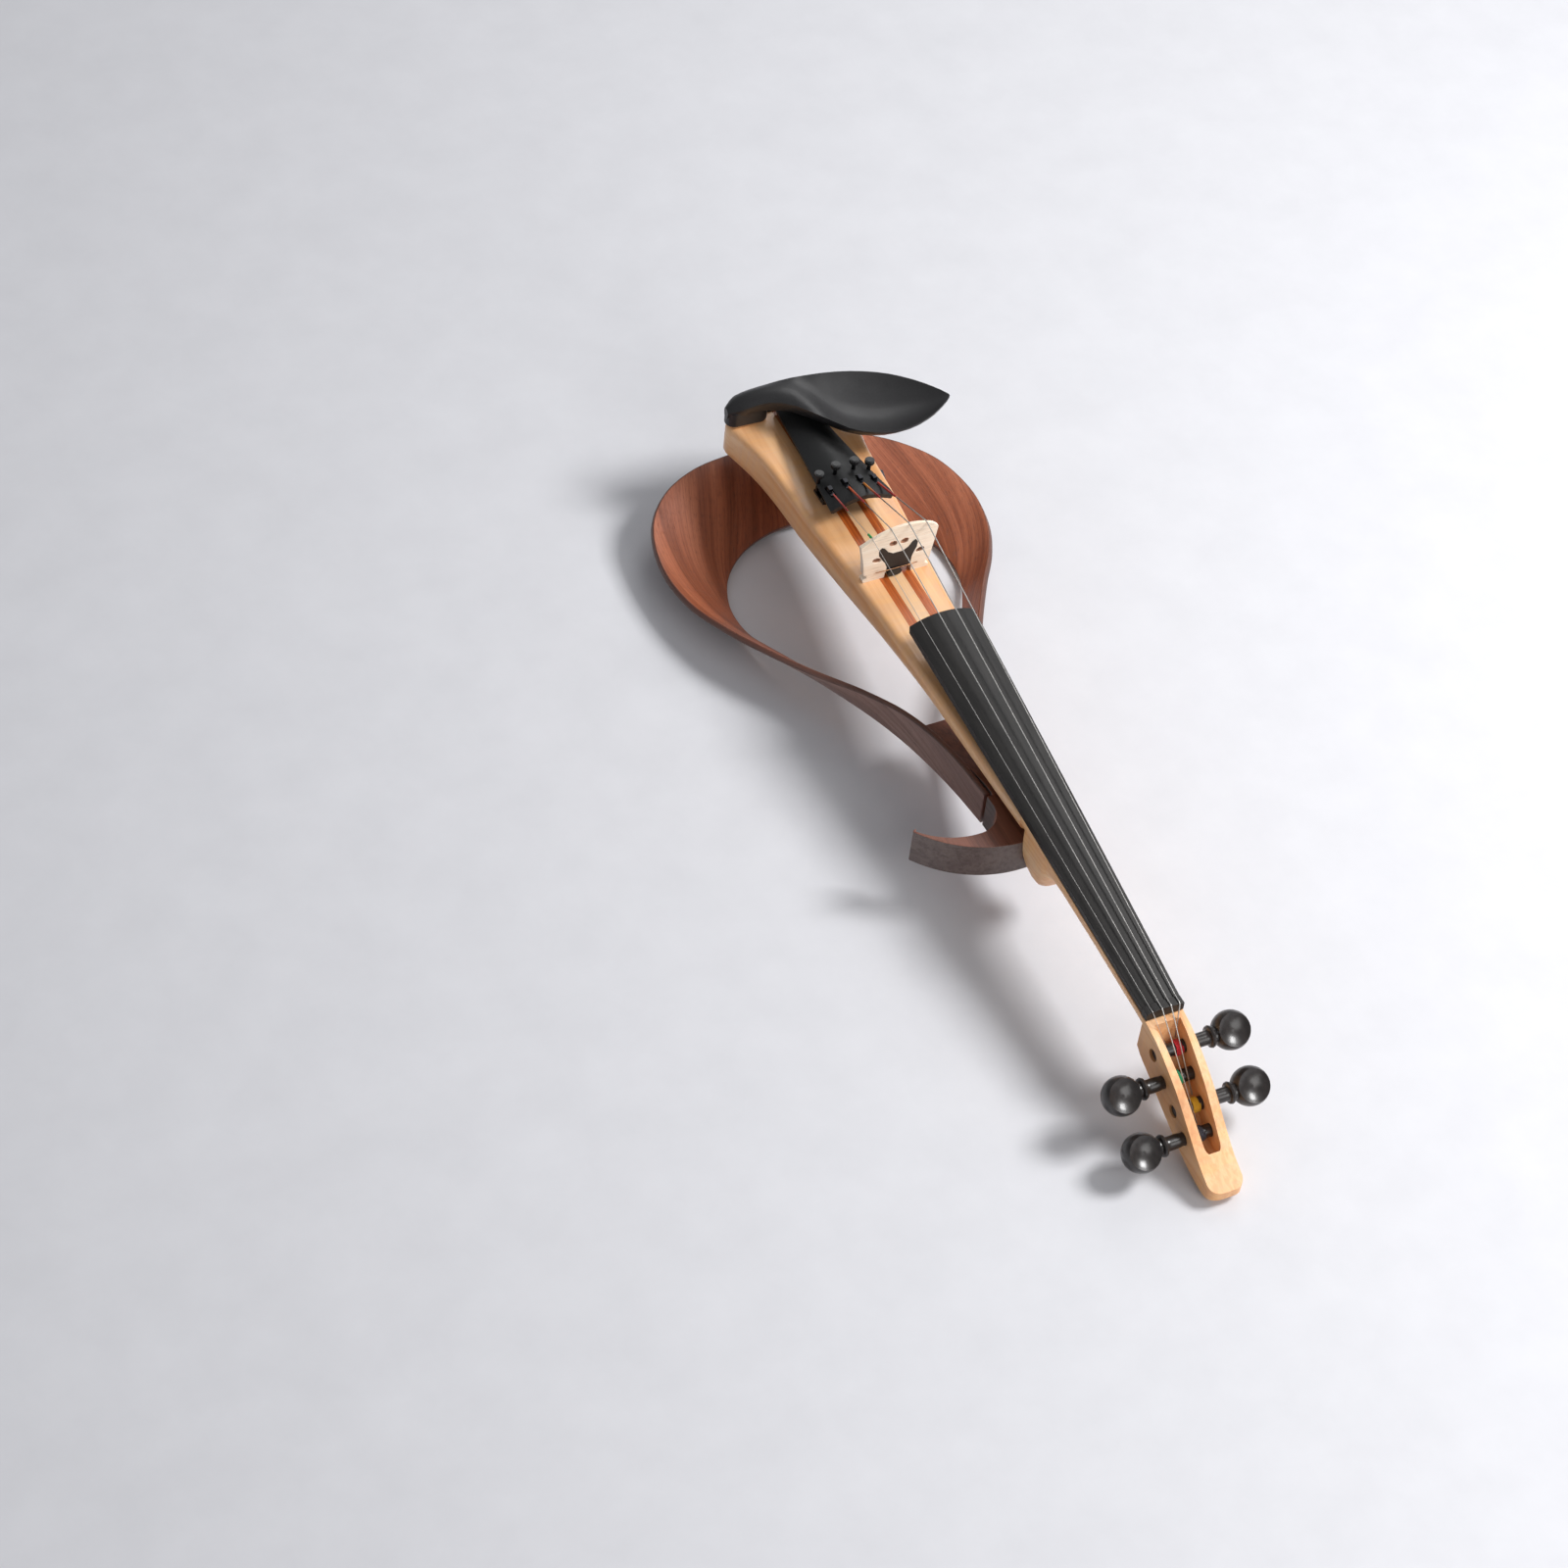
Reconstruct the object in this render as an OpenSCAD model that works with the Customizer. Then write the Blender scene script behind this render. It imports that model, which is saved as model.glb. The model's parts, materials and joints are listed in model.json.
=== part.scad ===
// Electric violin with a laminated centre body, an open ribbon frame and a chinrest.
// Every module draws in the setup frame of a violin maker: the bridge stands at the
// origin on the flat top, +Y runs to the pegbox, +X is the treble side and +Z is up.
// seat() then moves the whole instrument to the part's own frame.

/* [Scale and strings] */
// Free string length from the bridge to the nut
string_len = 328; // [324:1:331]
// Height of the middle of the bridge above the top
bridge_h = 37.4; // [35:0.1:39]
// Height of the nut's string grooves relative to the top plate
nut_groove_z = -6.3; // [-7:0.1:-6]
// Half of the spread of the outer strings at the bridge
spread_bridge = 17; // [16:0.1:17.5]
// Half of the spread of the outer strings at the nut
spread_nut = 8.2; // [7.8:0.1:8.6]

/* [Body] */
// Half width of each mahogany stripe's outer edge
stripe_out = 10.2; // [9:0.1:11]
// Half width of each mahogany stripe's inner edge
stripe_in = 4.6; // [4:0.1:6]
// Radius that breaks the edge of the top
edge_r = 4; // [2:0.5:4.5]

/* [Ribbon frame] */
// Thickness of the walnut ribbon
ribbon_t = 3.6; // [3:0.1:4.2]
// Height of the walnut hook beside the heel
hook_h = 24; // [22:1:26]

/* [Neck] */
// Length of the fingerboard
board_len = 270; // [262:1:272]
// Half width of the fingerboard at the nut
board_nut_w = 11.6; // [11.4:0.1:12.2]
// Half width of the fingerboard at its free end
board_end_w = 20.4; // [20:0.1:21.4]
// Radius of the fingerboard's playing surface
board_r = 42; // [40:1:44]

/* [Pegs] */
// Radius of a peg where it passes through the walls
peg_r = 3.7; // [3.5:0.1:3.9]
// Distance of a peg head's middle from the centre line
peg_head_x = 36; // [35:0.5:37]
// Radius of a peg head
peg_head_r = 11; // [10:0.5:12]

/* [Fits] */
// Radial running clearance of pegs, screws and the knob
run = 0.05; // [0.03:0.01:0.08]
// Glue line between two fixed pieces
glue = 0.05; // [0.02:0.01:0.1]

/* [Hidden] */

// Ends of the instrument along Y and its lowest point, which place it in its own frame
tail_end_y = -160.3;
tip_y = 421;
low_z = -69.54;
mid_y = (tail_end_y + tip_y) / 2;
board_end_y = string_len - board_len;
// The strings in order from the bass side: side factor from -1 to 1 and string radius
G = 0;
D = 1;
A = 2;
E = 3;
side = [-1, -1 / 3, 1 / 3, 1];
string_r = [0.42, 0.38, 0.34, 0.22];
// Pegs: distance from the bridge, height of the axis, and the side of the head
peg_y = [346, 373, 386.5, 359];
peg_z = [-28, -44, -51, -35.5];
peg_side = [-1, -1, 1, 1];
wall_x = 11.4;
// Controls inside the body
cavity = [26, 56, 26];
cavity_y = -80;
cavity_z = -6;
cover_z = -31.4;
cover_t = 1.8;
jack_z = -11.5;
// Height of the channel for the pickup lead
lead_z = -9;
jack_y = -82;
jack_bore_r = 3.25;
jack_end_x = -32.9;
jack_r = 4.7;
barrel_end_x = -11.9;
knob_y = -63;
// Fine tuners
tuner_y = -70;
pivot_y = -61;
hook_y = -56;
tuner_x = [-16.3, -6, 6, 16.3];
tuner_pin_r = 0.8;
// Chinrest clamp
clamp_y = -153.6;
clamp_x = [20, 27.5];
clamp_stud_r = 1.5;
clamp_plate_z = -33.6;
clamp_plate_t = 2;

// ---- small tools -------------------------------------------------------------
function find(t, k, i = 0) = (i >= len(t) - 2 || k < t[i + 1][0]) ? i : find(t, k, i + 1);
function grade(t, i) = let(a = max(i - 1, 0), b = min(i + 1, len(t) - 1))
    (t[b][1] - t[a][1]) / (t[b][0] - t[a][0]);
// Smooth curve through a table of [key, value] rows
function smooth(t, k) = let(i = find(t, k), h = t[i + 1][0] - t[i][0], u = (k - t[i][0]) / h)
    t[i][1] * (1 + 2 * u) * (1 - u) * (1 - u) + t[i + 1][1] * u * u * (3 - 2 * u)
    + grade(t, i) * h * u * (1 - u) * (1 - u) - grade(t, i + 1) * h * u * u * (1 - u);
// Smooth curve through a list of points, s counting from 0 at the first point
function along(p, s) = let(n = len(p) - 1, i = min(floor(s), n - 1), u = s - i,
    a = i > 0 ? p[i - 1] : 2 * p[0] - p[1], b = p[i], c = p[i + 1],
    d = i < n - 1 ? p[i + 2] : 2 * p[n] - p[n - 1])
    (2 * b + (c - a) * u + (2 * a - 5 * b + 4 * c - d) * u * u
    + (3 * b - a - 3 * c + d) * u * u * u) / 2;
function unit(v) = v / norm(v);
function arc(c, r, a0, a1, n) = [for (i = [0:n]) let(a = a0 + (a1 - a0) * i / n)
    [c[0] + r * cos(a), c[1] + r * sin(a)]];
function mirrored(p) = [for (q = p) [-q[0], q[1], q[2]]];

// Closed skin over a list of rings that all have the same number of points
module loft(rings) {
    n = len(rings[0]);
    last = (len(rings) - 1) * n;
    sides = [for (i = [0:len(rings) - 2], j = [0:n - 1])
        let(a = i * n + j, b = i * n + (j + 1) % n) each [[a, b, b + n], [a, b + n, a + n]]];
    // End caps as a ladder of quads between opposite points of the ring
    near = [for (j = [0:ceil(n / 2) - 2]) each concat([[j, n - 1 - j, n - 2 - j]],
        n - 2 - j > j + 1 ? [[j, n - 2 - j, j + 1]] : [])];
    far = [for (f = near) [last + f[0], last + f[2], last + f[1]]];
    points = [for (ring = rings) each ring];
    faces = concat(sides, near, far);
    // Every face runs clockwise seen from outside, whichever way the rings go round
    turn = [for (f = faces) cross(points[f[0]], points[f[1]]) * points[f[2]]] * [for (f = faces) 1];
    polyhedron(points, turn > 0 ? [for (f = faces) [f[0], f[2], f[1]]] : faces);
}
module seat() translate([0, -mid_y, -low_z]) children();
// Direction of a path at each of its points, and a side vector carried along it without twist
function headings(p) = [for (i = [0:len(p) - 1]) unit(p[min(i + 1, len(p) - 1)] - p[max(i - 1, 0)])];
function carried(t, v, i = 1) = i >= len(t) ? [v]
    : concat([v], carried(t, unit(v - t[i] * (v * t[i])), i + 1));
// A round cord of radius r with n sides along a path; side is any vector that isn't along its start
module cord(path, r, n, side = [1, 0, 0]) {
    t = headings(path);
    v = carried(t, unit(side - t[0] * (side * t[0])));
    loft([for (i = [0:len(path) - 1]) [for (j = [0:n - 1]) let(a = -360 * j / n)
        path[i] + r * (cos(a) * v[i] + sin(a) * cross(t[i], v[i]))]]);
}
module along_x(x0, x1, r)
    translate([x0, 0, 0]) rotate([0, 90, 0]) cylinder(h = x1 - x0, r = r, $fn = 48);
module side_profile(points, half)
    rotate([90, 0, 90]) translate([0, 0, -half]) linear_extrude(2 * half) polygon(points);

// ---- body --------------------------------------------------------------------
// Half width, depth of the upright side wall, and full depth along the body
half_w = [[-150, 33], [-148.5, 38], [-146, 40.4], [-142, 41], [-136, 39.4], [-124, 36], [-110, 33.2],
    [-90, 31.2], [-65, 30.2], [-36, 28], [-13, 26], [0, 24.8], [28, 22.6], [58, 21.4], [103, 19.4],
    [150, 17.4], [192, 15.4]];
wall_d = [[-150, 19], [-110, 18.5], [-65, 16], [0, 11], [34, 8.5], [60, 6.5], [100, 6], [192, 5.5]];
full_d = [[-150, 31], [-120, 33], [-60, 34], [0, 31], [50, 24], [85, 17.5], [110, 16], [192, 15.8]];
body_y = [-150, -149.4, -148.5, -147, -145, -142, -139, -136, -130, -124, -117, -110, -100, -90, -78,
    -65, -50, -36, -24, -13, 0, 14, 28, 42, 58, 72, 88, 103, 120, 135, 150, 170, 192];
function body_w(y) = smooth(half_w, y);
function belly(x, y) = let(w = body_w(y), s = smooth(wall_d, y))
    -s - (smooth(full_d, y) - s) * sqrt(max(0, 1 - pow(x / w, 2)));
function deck(x, y) = let(w = body_w(y), e = abs(x) - (w - edge_r), dip = max(0, y - 150) / 42)
    -dip - (e > 0 ? edge_r - sqrt(max(0, edge_r * edge_r - e * e)) : 0);
function strip_ring(a, b, y, n) = let(hi = min(b, body_w(y)),
    xs = [for (j = [0:n]) b > body_w(y) ? a + (hi - a) * sin(90 * j / n) : a + (hi - a) * j / n])
    concat([for (x = xs) [x, y, deck(x, y)]], [for (j = [n:-1:0]) [xs[j], y, belly(xs[j], y)]]);
// One lengthwise strip of the laminated body, between two distances from the centre line
module strip(a, b, n) {
    difference() {
        loft([for (y = body_y) strip_ring(a, b, y, n)]);
        translate([-cavity[0] / 2, cavity_y - cavity[1] / 2, -60])
            cube([cavity[0], cavity[1], 60 + cavity_z]);
    }
}
module body_treble_side() color("burlywood") strip(stripe_out, 60, 10);
module body_bass_side() {
    color("burlywood")
        difference() {
            mirror([1, 0, 0]) strip(stripe_out, 60, 10);
            translate([0, jack_y, jack_z]) along_x(-40, -10, jack_r + run);
        }
}
module body_stripe_treble() color("sienna") strip(stripe_in + glue, stripe_out - glue, 2);
module body_stripe_bass()
    color("sienna") mirror([1, 0, 0]) strip(stripe_in + glue, stripe_out - glue, 2);
module body_centre() {
    color("wheat")
        difference() {
            strip(-stripe_in, stripe_in, 4);
            translate([0, -132, -13]) rotate([90, 0, 0]) cylinder(h = 30, r = 4, $fn = 48);
            translate([0, -14, -12]) cylinder(h = 20, r = 3, $fn = 48);
            translate([0, -14, lead_z]) rotate([90, 0, 0]) cylinder(h = 50, r = 1.3, $fn = 32);
        }
}
// Maple block that carries the ribbon below the tail, with its face cut to the ribbon's slope
seat_slope = atan2(-20, 51);
module ribbon_screw_axes()
    for (x = [-9, 9]) translate([x, -133, -52.6]) rotate([seat_slope, 0, 0]) children();
module tail_block() {
    ys = [for (i = [0:6]) -149.5 + 5 * i];
    color("burlywood")
        difference() {
            loft([for (y = ys) concat(
                [for (x = [-13:2:13]) [x, y, belly(x, y) - 3 * glue]],
                [for (x = [13:-2:-13]) [x, y, -39.3 + (y + 160) * tan(seat_slope)]])]);
            ribbon_screw_axes() cylinder(h = 14, r = 1.8, $fn = 32);
        }
}

// ---- ribbon frame --------------------------------------------------------------
// Upper edge and lower edge of each ribbon, from the tail to the heel
upper_treble = [[0, -160, -42], [28, -159, -42.3], [56, -153.5, -41.5], [79.5, -142, -44], [96, -121, -47],
    [102.8, -91, -49.5], [100.5, -58, -47.5], [91, -28, -42.5], [77.3, -1, -39], [59, 26, -37], [40, 53, -33],
    [28, 84, -25], [21, 120, -18.7], [16.8, 160.2, -16.6]];
lower_treble = [[0, -109, -62], [24, -108, -64], [45, -100, -66], [61, -85, -67.5], [69, -67, -68],
    [71, -50, -67], [69.5, -34, -64.5], [65, -19, -60.5], [56, 2, -57], [45, 30, -53], [35, 60, -49],
    [26, 91, -46.5], [20, 128, -42.5], [16.8, 160.4, -40]];
upper_bass = [[0, -160, -42], [-28, -158, -43], [-54, -151, -45], [-75.5, -138, -47], [-94, -118, -50],
    [-103, -90, -53], [-100, -62, -53], [-89.5, -38, -52], [-74, -15, -49.5], [-56, 14, -46],
    [-38, 46, -41], [-21, 85, -32], [-10, 120, -24.5], [-4, 152, -19]];
lower_bass = concat(mirrored([for (i = [0:5]) lower_treble[i]]), [[-70, -36, -67], [-66, -24, -66],
    [-57, -6, -64], [-44, 20, -60], [-29, 52, -56], [-15, 88, -51], [-7.5, 124, -45.5], [-4, 158, -40]]);
// Eight corners of the ribbon's cross-section at s, with broken edges
function ribbon_ring(up, low, s) = let(o = along(up, s), i = along(low, s), u = unit(i - o), e = 0.9,
    ahead = along(up, s + 0.01) + along(low, s + 0.01),
    back = along(up, s - 0.01) + along(low, s - 0.01),
    n = unit(cross(ahead - back, u)) * ribbon_t / 2, m = n * (1 - 2 * e / ribbon_t))
    [o + m, o + u * e + n, i - u * e + n, i + m, i - m, i - u * e - n, o + u * e - n, o - m];
module ribbon(up, low, steps) {
    last = len(up) - 1.02;
    loft([for (k = [0:steps]) ribbon_ring(up, low, 0.011 + (last - 0.011) * k / steps)]);
}
module frame_treble() {
    color("saddlebrown")
        difference() {
            ribbon(upper_treble, lower_treble, 78);
            ribbon_screw_axes() translate([0, 0, -8]) cylinder(h = 24, r = 1.8, $fn = 32);
        }
}
module frame_bass() {
    color("saddlebrown")
        difference() {
            mirror([1, 0, 0]) ribbon(mirrored(upper_bass), mirrored(lower_bass), 78);
            ribbon_screw_axes() translate([0, 0, -8]) cylinder(h = 24, r = 1.8, $fn = 32);
        }
}
module frame_screws() {
    color("dimgray")
        ribbon_screw_axes() {
            translate([0, 0, -3]) cylinder(h = 14.6, r = 1.75, $fn = 32);
            difference() {
                translate([0, 0, -5]) cylinder(h = 2.2, r = 3.6, $fn = 48);
                translate([0, 0, -5.6]) cylinder(h = 1.6, r = 1.5, $fn = 6);
            }
        }
}
// Hook of the upper bout: an upright arm on a root block that rises beside the body
hook_top = -16.2;
hook_c = [12, 128];
hook_r = 69.6;
module frame_hook() {
    plan = concat([[-1.6, 84], [-1.6, 197.6], [13.4, 197.6]], arc(hook_c, hook_r, 88, 37.5, 22),
        arc([66.3, 169.4], 1.6, 10, -120, 5), arc([34.4, 138.8], 44.4, 43.5, 91, 14),
        arc([33, 168], 15.2, 92, 180, 10),
        [[18.1, 160.6], [14.7, 160.6], [14.7, 158], [15.4, 150], [16.3, 140], [17.4, 130], [18.7, 120],
        [20.2, 110], [21.8, 100], [23.3, 92], [24.9, 84]]);
    color("saddlebrown")
        difference() {
            translate([0, 0, hook_top - hook_h]) linear_extrude(hook_h) polygon(plan);
            side_profile([[60, -10], [152, -10], [152, hook_top], [140, -18], [84, -38], [60, -38]], 60);
        }
}

// ---- neck ----------------------------------------------------------------------
function board_w(y) = board_end_w + (board_nut_w - board_end_w) * (y - board_end_y) / board_len;
function board_top(y) = 24.5 - 31.7 * (y - board_end_y) / board_len;
function board_under(y) = 13.7 - 27.3 * (y - board_end_y) / board_len;
neck_w = [[192, 15.3], [205, 15], [215, 14.8], [230, 14.4], [328, 11.5], [332, 11.5]];
neck_low = [[192, -16], [197.7, -16.1], [197.8, -40], [201, -42.8], [206, -44], [211, -43], [215, -39],
    [219, -31], [223, -25], [229, -21.5], [240, -20.4], [270, -21.4], [320, -25], [332, -26.5]];
neck_ys = [192.1, 197.7, 197.8, 199, 201, 203.5, 206, 208.5, 211, 213, 215, 217, 219, 221, 223, 226,
    229, 234, 240, 255, 270, 285, 300, 310, 320, 326, 331];
function neck_bottom(y) = lookup(y, neck_low);
function u_ring(y, w, top, low, p, n) = [for (i = [0:n]) let(a = 180 * i / n, c = cos(a), s = sin(a))
    [w * sign(c) * pow(abs(c), 2 / p), y, top + (low - top) * pow(s, 2 / p)]];
module neck() {
    color("burlywood")
        loft([for (y = neck_ys) u_ring(y, smooth(neck_w, y), board_under(y) - glue, neck_bottom(y),
            y > 197.7 && y < 221 ? 2.8 : 2.3, 20)]);
}
module fingerboard() {
    ring_n = 12;
    color("#1c1a1b")
        loft([for (k = [0:9]) let(y = board_end_y + board_len * k / 9, w = board_w(y))
            concat([for (j = [0:ring_n]) let(x = w - 2 * w * j / ring_n)
                [x, y, board_top(y) - board_r + sqrt(board_r * board_r - x * x)]],
                [[-w + 0.6, y, board_under(y)], [w - 0.6, y, board_under(y)]])]);
}
nut_w = 11.4;
nut_sag = 0.011;
module nut() {
    top = nut_groove_z - 0.2;
    floor_z = board_under(string_len) + 0.02;
    color("#111111")
        translate([0, string_len + 5.6, 0])
            rotate([90, 0, 0])
                linear_extrude(5.5)
                    difference() {
                        polygon(concat([[-nut_w, floor_z], [nut_w, floor_z]],
                            [for (x = [nut_w:-nut_w / 7:-nut_w]) [x, top - nut_sag * x * x - 0.25]]));
                        for (k = [G:E])
                            translate([side[k] * spread_nut, string_nut_z(k) + 0.15])
                                circle(r = 0.75, $fn = 24);
                    }
}
// Slope of the pegbox: top face, underside and floor of the string slot
box_top = [[331.1, -13.9], [341, -15.3], [349, -17.6], [362, -23.5], [374, -30.2], [388, -40.5], [401, -50],
    [413, -56.4], [421, -59]];
box_low = [[331.1, -36.5], [336, -40.2], [346, -44.4], [364, -52.8], [380, -59.6], [396, -65.3], [408, -67.2],
    [416, -66.6], [421, -64.5]];
slot_low = [[337.5, -24], [346, -36.3], [359, -44], [373, -52.2], [387, -58], [396, -57.5], [401, -50.5]];
neck_end_w = 11.5;
tip_w = 10.6;
module peg_holes() for (k = [G:E]) translate([0, peg_y[k], peg_z[k]]) along_x(-20, 20, peg_r + run);
module pegbox() {
    ys = [for (i = [0:22]) 331.1 + (tip_y - 331.1) * i / 22];
    sy = [for (i = [0:14]) 337.5 + 63.5 * i / 14];
    shell = concat([for (y = ys) [y, smooth(box_top, y)]],
        [for (i = [22:-1:0]) [ys[i], smooth(box_low, ys[i])]]);
    trough = concat([for (y = sy) [y, smooth(slot_low, y)]], [[402.4, 0], [336.4, 0]]);
    plan = concat([[-neck_end_w, 331], [neck_end_w, 331], [wall_x, 340], [tip_w, 404]],
        arc([3.6, 414], 7, 0, 90, 10), arc([-3.6, 414], 7, 90, 180, 10), [[-tip_w, 404], [-wall_x, 340]]);
    slot = concat([[-7.8, 336], [7.8, 336]], arc([0, 397.5], 4.8, 0, 180, 12));
    color("burlywood")
        difference() {
            intersection() {
                side_profile(shell, 20);
                translate([0, 0, -80]) linear_extrude(80) polygon(plan);
            }
            intersection() {
                side_profile(trough, 20);
                translate([0, 0, -80]) linear_extrude(80) polygon(slot);
            }
            peg_holes();
        }
}

// ---- bridge and pickup -----------------------------------------------------------
bridge_t = 4.4;
function bridge_top(x) = bridge_h - board_r + sqrt(board_r * board_r - x * x) - 0.08 * x;
// Outline of the bridge seen from the tail, treble side then bass side, feet first
treble_edge = [[7.2, 0.05], [20.6, 0.05], [21, 2.2], [18.6, 3.4], [18.8, 5], [20.8, 6.2], [20.9, 8],
    [21.6, 14], [22.6, 20], [24.1, 27.2], [24.2, 28.2]];
bass_edge = [[-24.7, 30.3], [-24.6, 28.6], [-23.4, 21], [-22.2, 14], [-21.2, 8], [-21, 6.2], [-18.8, 5],
    [-18.6, 3.4], [-21, 2.2], [-20.6, 0.05], [-9.9, 0.05]];
heart_half = [[6.4, 4.4], [6.3, 8], [7.6, 11.5], [9.6, 14.4], [12, 18.6], [12.2, 22.4], [10.8, 24.4],
    [9, 23.6], [6.4, 20], [3.2, 18]];
heart_other = [[-3.2, 18], [-6.4, 20], [-9, 23.6], [-10.8, 24.4], [-12.2, 22.4], [-12, 18.6],
    [-10.4, 14.6], [-9.4, 11.5], [-9.1, 8], [-9.2, 4.4]];
// Eyes of the bridge: middle, half width, flatness and tilt
bridge_eyes = [[3.6, 25.6, 2.6, 0.8, 14], [-3.6, 25.6, 2.6, 0.8, -14], [13.3, 15.4, 2.9, 0.66, 14],
    [-14.4, 15.2, 2.9, 0.66, -14]];
module eye(e) translate([e[0], e[1]]) rotate(e[4]) scale([1, e[3]]) circle(r = e[2], $fn = 32);
module heart() polygon(concat(heart_half, heart_other));
module bridge() {
    outline = concat(treble_edge, [for (x = [21.6:-1.8:-21.6]) [x, bridge_top(x)]], bass_edge,
        [[-9.6, 4.6], [6.9, 4.6]]);
    half = bridge_t / 2;
    color("wheat")
        intersection() {
            rotate([90, 0, 0])
                translate([0, 0, -half])
                    linear_extrude(bridge_t)
                        difference() {
                            polygon(outline);
                            offset(delta = glue) heart();
                            for (e = bridge_eyes) eye(e);
                            for (k = [G:E])
                                translate([side[k] * spread_bridge, string_bridge_z(k)])
                                    circle(r = string_r[k] + 0.08, $fn = 24);
                        }
            side_profile([[-half, -1], [half, -1], [half, 8], [0.75, 40], [-0.75, 40], [-half, 8]], 30);
        }
}
// The block fills the bridge's heart, and a rounded boss under it lets the lead out
module bridge_pickup()
    color("#151515")
        rotate([90, 0, 0]) {
            translate([0, 0, -1.9]) linear_extrude(3.8) heart();
            translate([0, 0, -3.4])
                linear_extrude(5.3)
                    hull()
                        for (x = [-1.2, 3.2]) translate([x, 3.1]) circle(r = 2.2, $fn = 32);
        }
// Thin lead from the pickup down through the grommet into the body
lead = [[0, -2.2, 5.6], [0, -4, 5], [0, -8.5, 5.2], [0, -12.4, 4.6], [0, -13.8, 3], [0, -14, 1],
    [0, -14, -7], [0, -14.6, -8.5], [0, -16, lead_z], [0, -40, lead_z], [0, -90.6, lead_z]];
module pickup_lead() color("#222222") cord(lead, 0.6, 8);
module pickup_grommet() {
    color("#161616")
        translate([0, -14, 0])
            rotate_extrude($fn = 48)
                polygon([[1, -3.2], [2.95, -3.2], [2.95, 0.05], [4.2, 0.05], [4, 1.1], [3.2, 1.6],
                    [1.5, 1.6], [1, 1.2]]);
}

// ---- strings ------------------------------------------------------------------------
function string_bridge_z(k) = bridge_top(side[k] * spread_bridge) + string_r[k] - 0.15;
function string_nut_z(k) = nut_groove_z - nut_sag * pow(side[k] * spread_nut, 2) + string_r[k] - 0.2;
function hook_z(k) = abs(side[k]) > 0.9 ? 16.4 : 19.2;
function hook_x(k) = side[k] * 14.3;
function string_path(k) = [[hook_x(k), hook_y + 1.6, hook_z(k) + 0.3],
    [side[k] * spread_bridge, 0, string_bridge_z(k)],
    [side[k] * spread_nut, string_len + 0.2, string_nut_z(k)],
    [side[k] * spread_nut, string_len + 5.6, string_nut_z(k) - 0.15], winding_entry(k)];
// Where each string meets its peg's winding
winding_r = 4.5;
function winding_x(k) = [-3.2, -1.6, 1.6, 3.2][k];
function winding_entry(k) = [winding_x(k), peg_y[k] - 3.2, peg_z[k] + winding_r + 0.5];
module string_node(k) color("silver") cord(string_path(k), string_r[k], 8);
// Plastic sleeve that keeps the thin string from cutting into the bridge
module e_string_sleeve() {
    a = string_path(E)[1];
    d = unit(string_path(E)[0] - a);
    color("seagreen")
        translate(a + d * 1.6)
            rotate([0, acos(d[2]), atan2(d[1], d[0])])
                difference() {
                    cylinder(h = 4.2, r = 0.75, $fn = 32);
                    translate([0, 0, -1]) cylinder(h = 7, r = string_r[E] + 0.03, $fn = 32);
                }
}

// ---- pegs -------------------------------------------------------------------------------
peg_tilt = -38;
module peg(k) {
    s = peg_side[k];
    hx = peg_head_x;
    r = peg_head_r;
    edge_a = 33;
    dish_z = 3.3;
    face_r = r * cos(edge_a);
    dish_rise = (r * sin(edge_a) - dish_z) / (face_r * face_r);
    dish = [for (i = [4:-1:0]) let(q = face_r * i / 5) [q, dish_z + dish_rise * q * q]];
    color("#191919")
        translate([0, peg_y[k], peg_z[k]])
            mirror([s < 0 ? 1 : 0, 0, 0]) {
                rotate([0, 90, 0])
                    rotate_extrude($fn = 48)
                        polygon([[0, -9.8], [peg_r - 0.4, -9.8], [peg_r, -9.4], [peg_r, 12.6], [4, 14],
                            [4.1, 21], [4.5, 22], [5.9, 22.4], [6.3, 23.4], [5.9, 24.4], [4.6, 25],
                            [4.8, 26.4], [5.4, 28], [0, 30]]);
                // Ball of the head cut by two dished faces, turned up to the player
                translate([hx, 0, 0])
                    rotate([peg_tilt, 0, 0])
                        rotate_extrude($fn = 64)
                            polygon(concat(
                                [for (i = [-5:5]) [r * cos(edge_a * i / 5), r * sin(edge_a * i / 5)]],
                                dish, [for (i = [4:-1:0]) [dish[i].x, -dish[i].y]]));
            }
}
module winding(k, shade) {
    color(shade)
        translate([winding_x(k), peg_y[k], peg_z[k]])
            rotate([0, 90, 0])
                rotate_extrude($fn = 48)
                    polygon(concat([[peg_r + 0.02, -2.4]],
                        [for (i = [0:20]) [winding_r - 0.32 + 0.32 * cos(90 * i), -2.4 + 4.8 * i / 20]],
                        [[peg_r + 0.02, 2.4]]));
}

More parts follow.
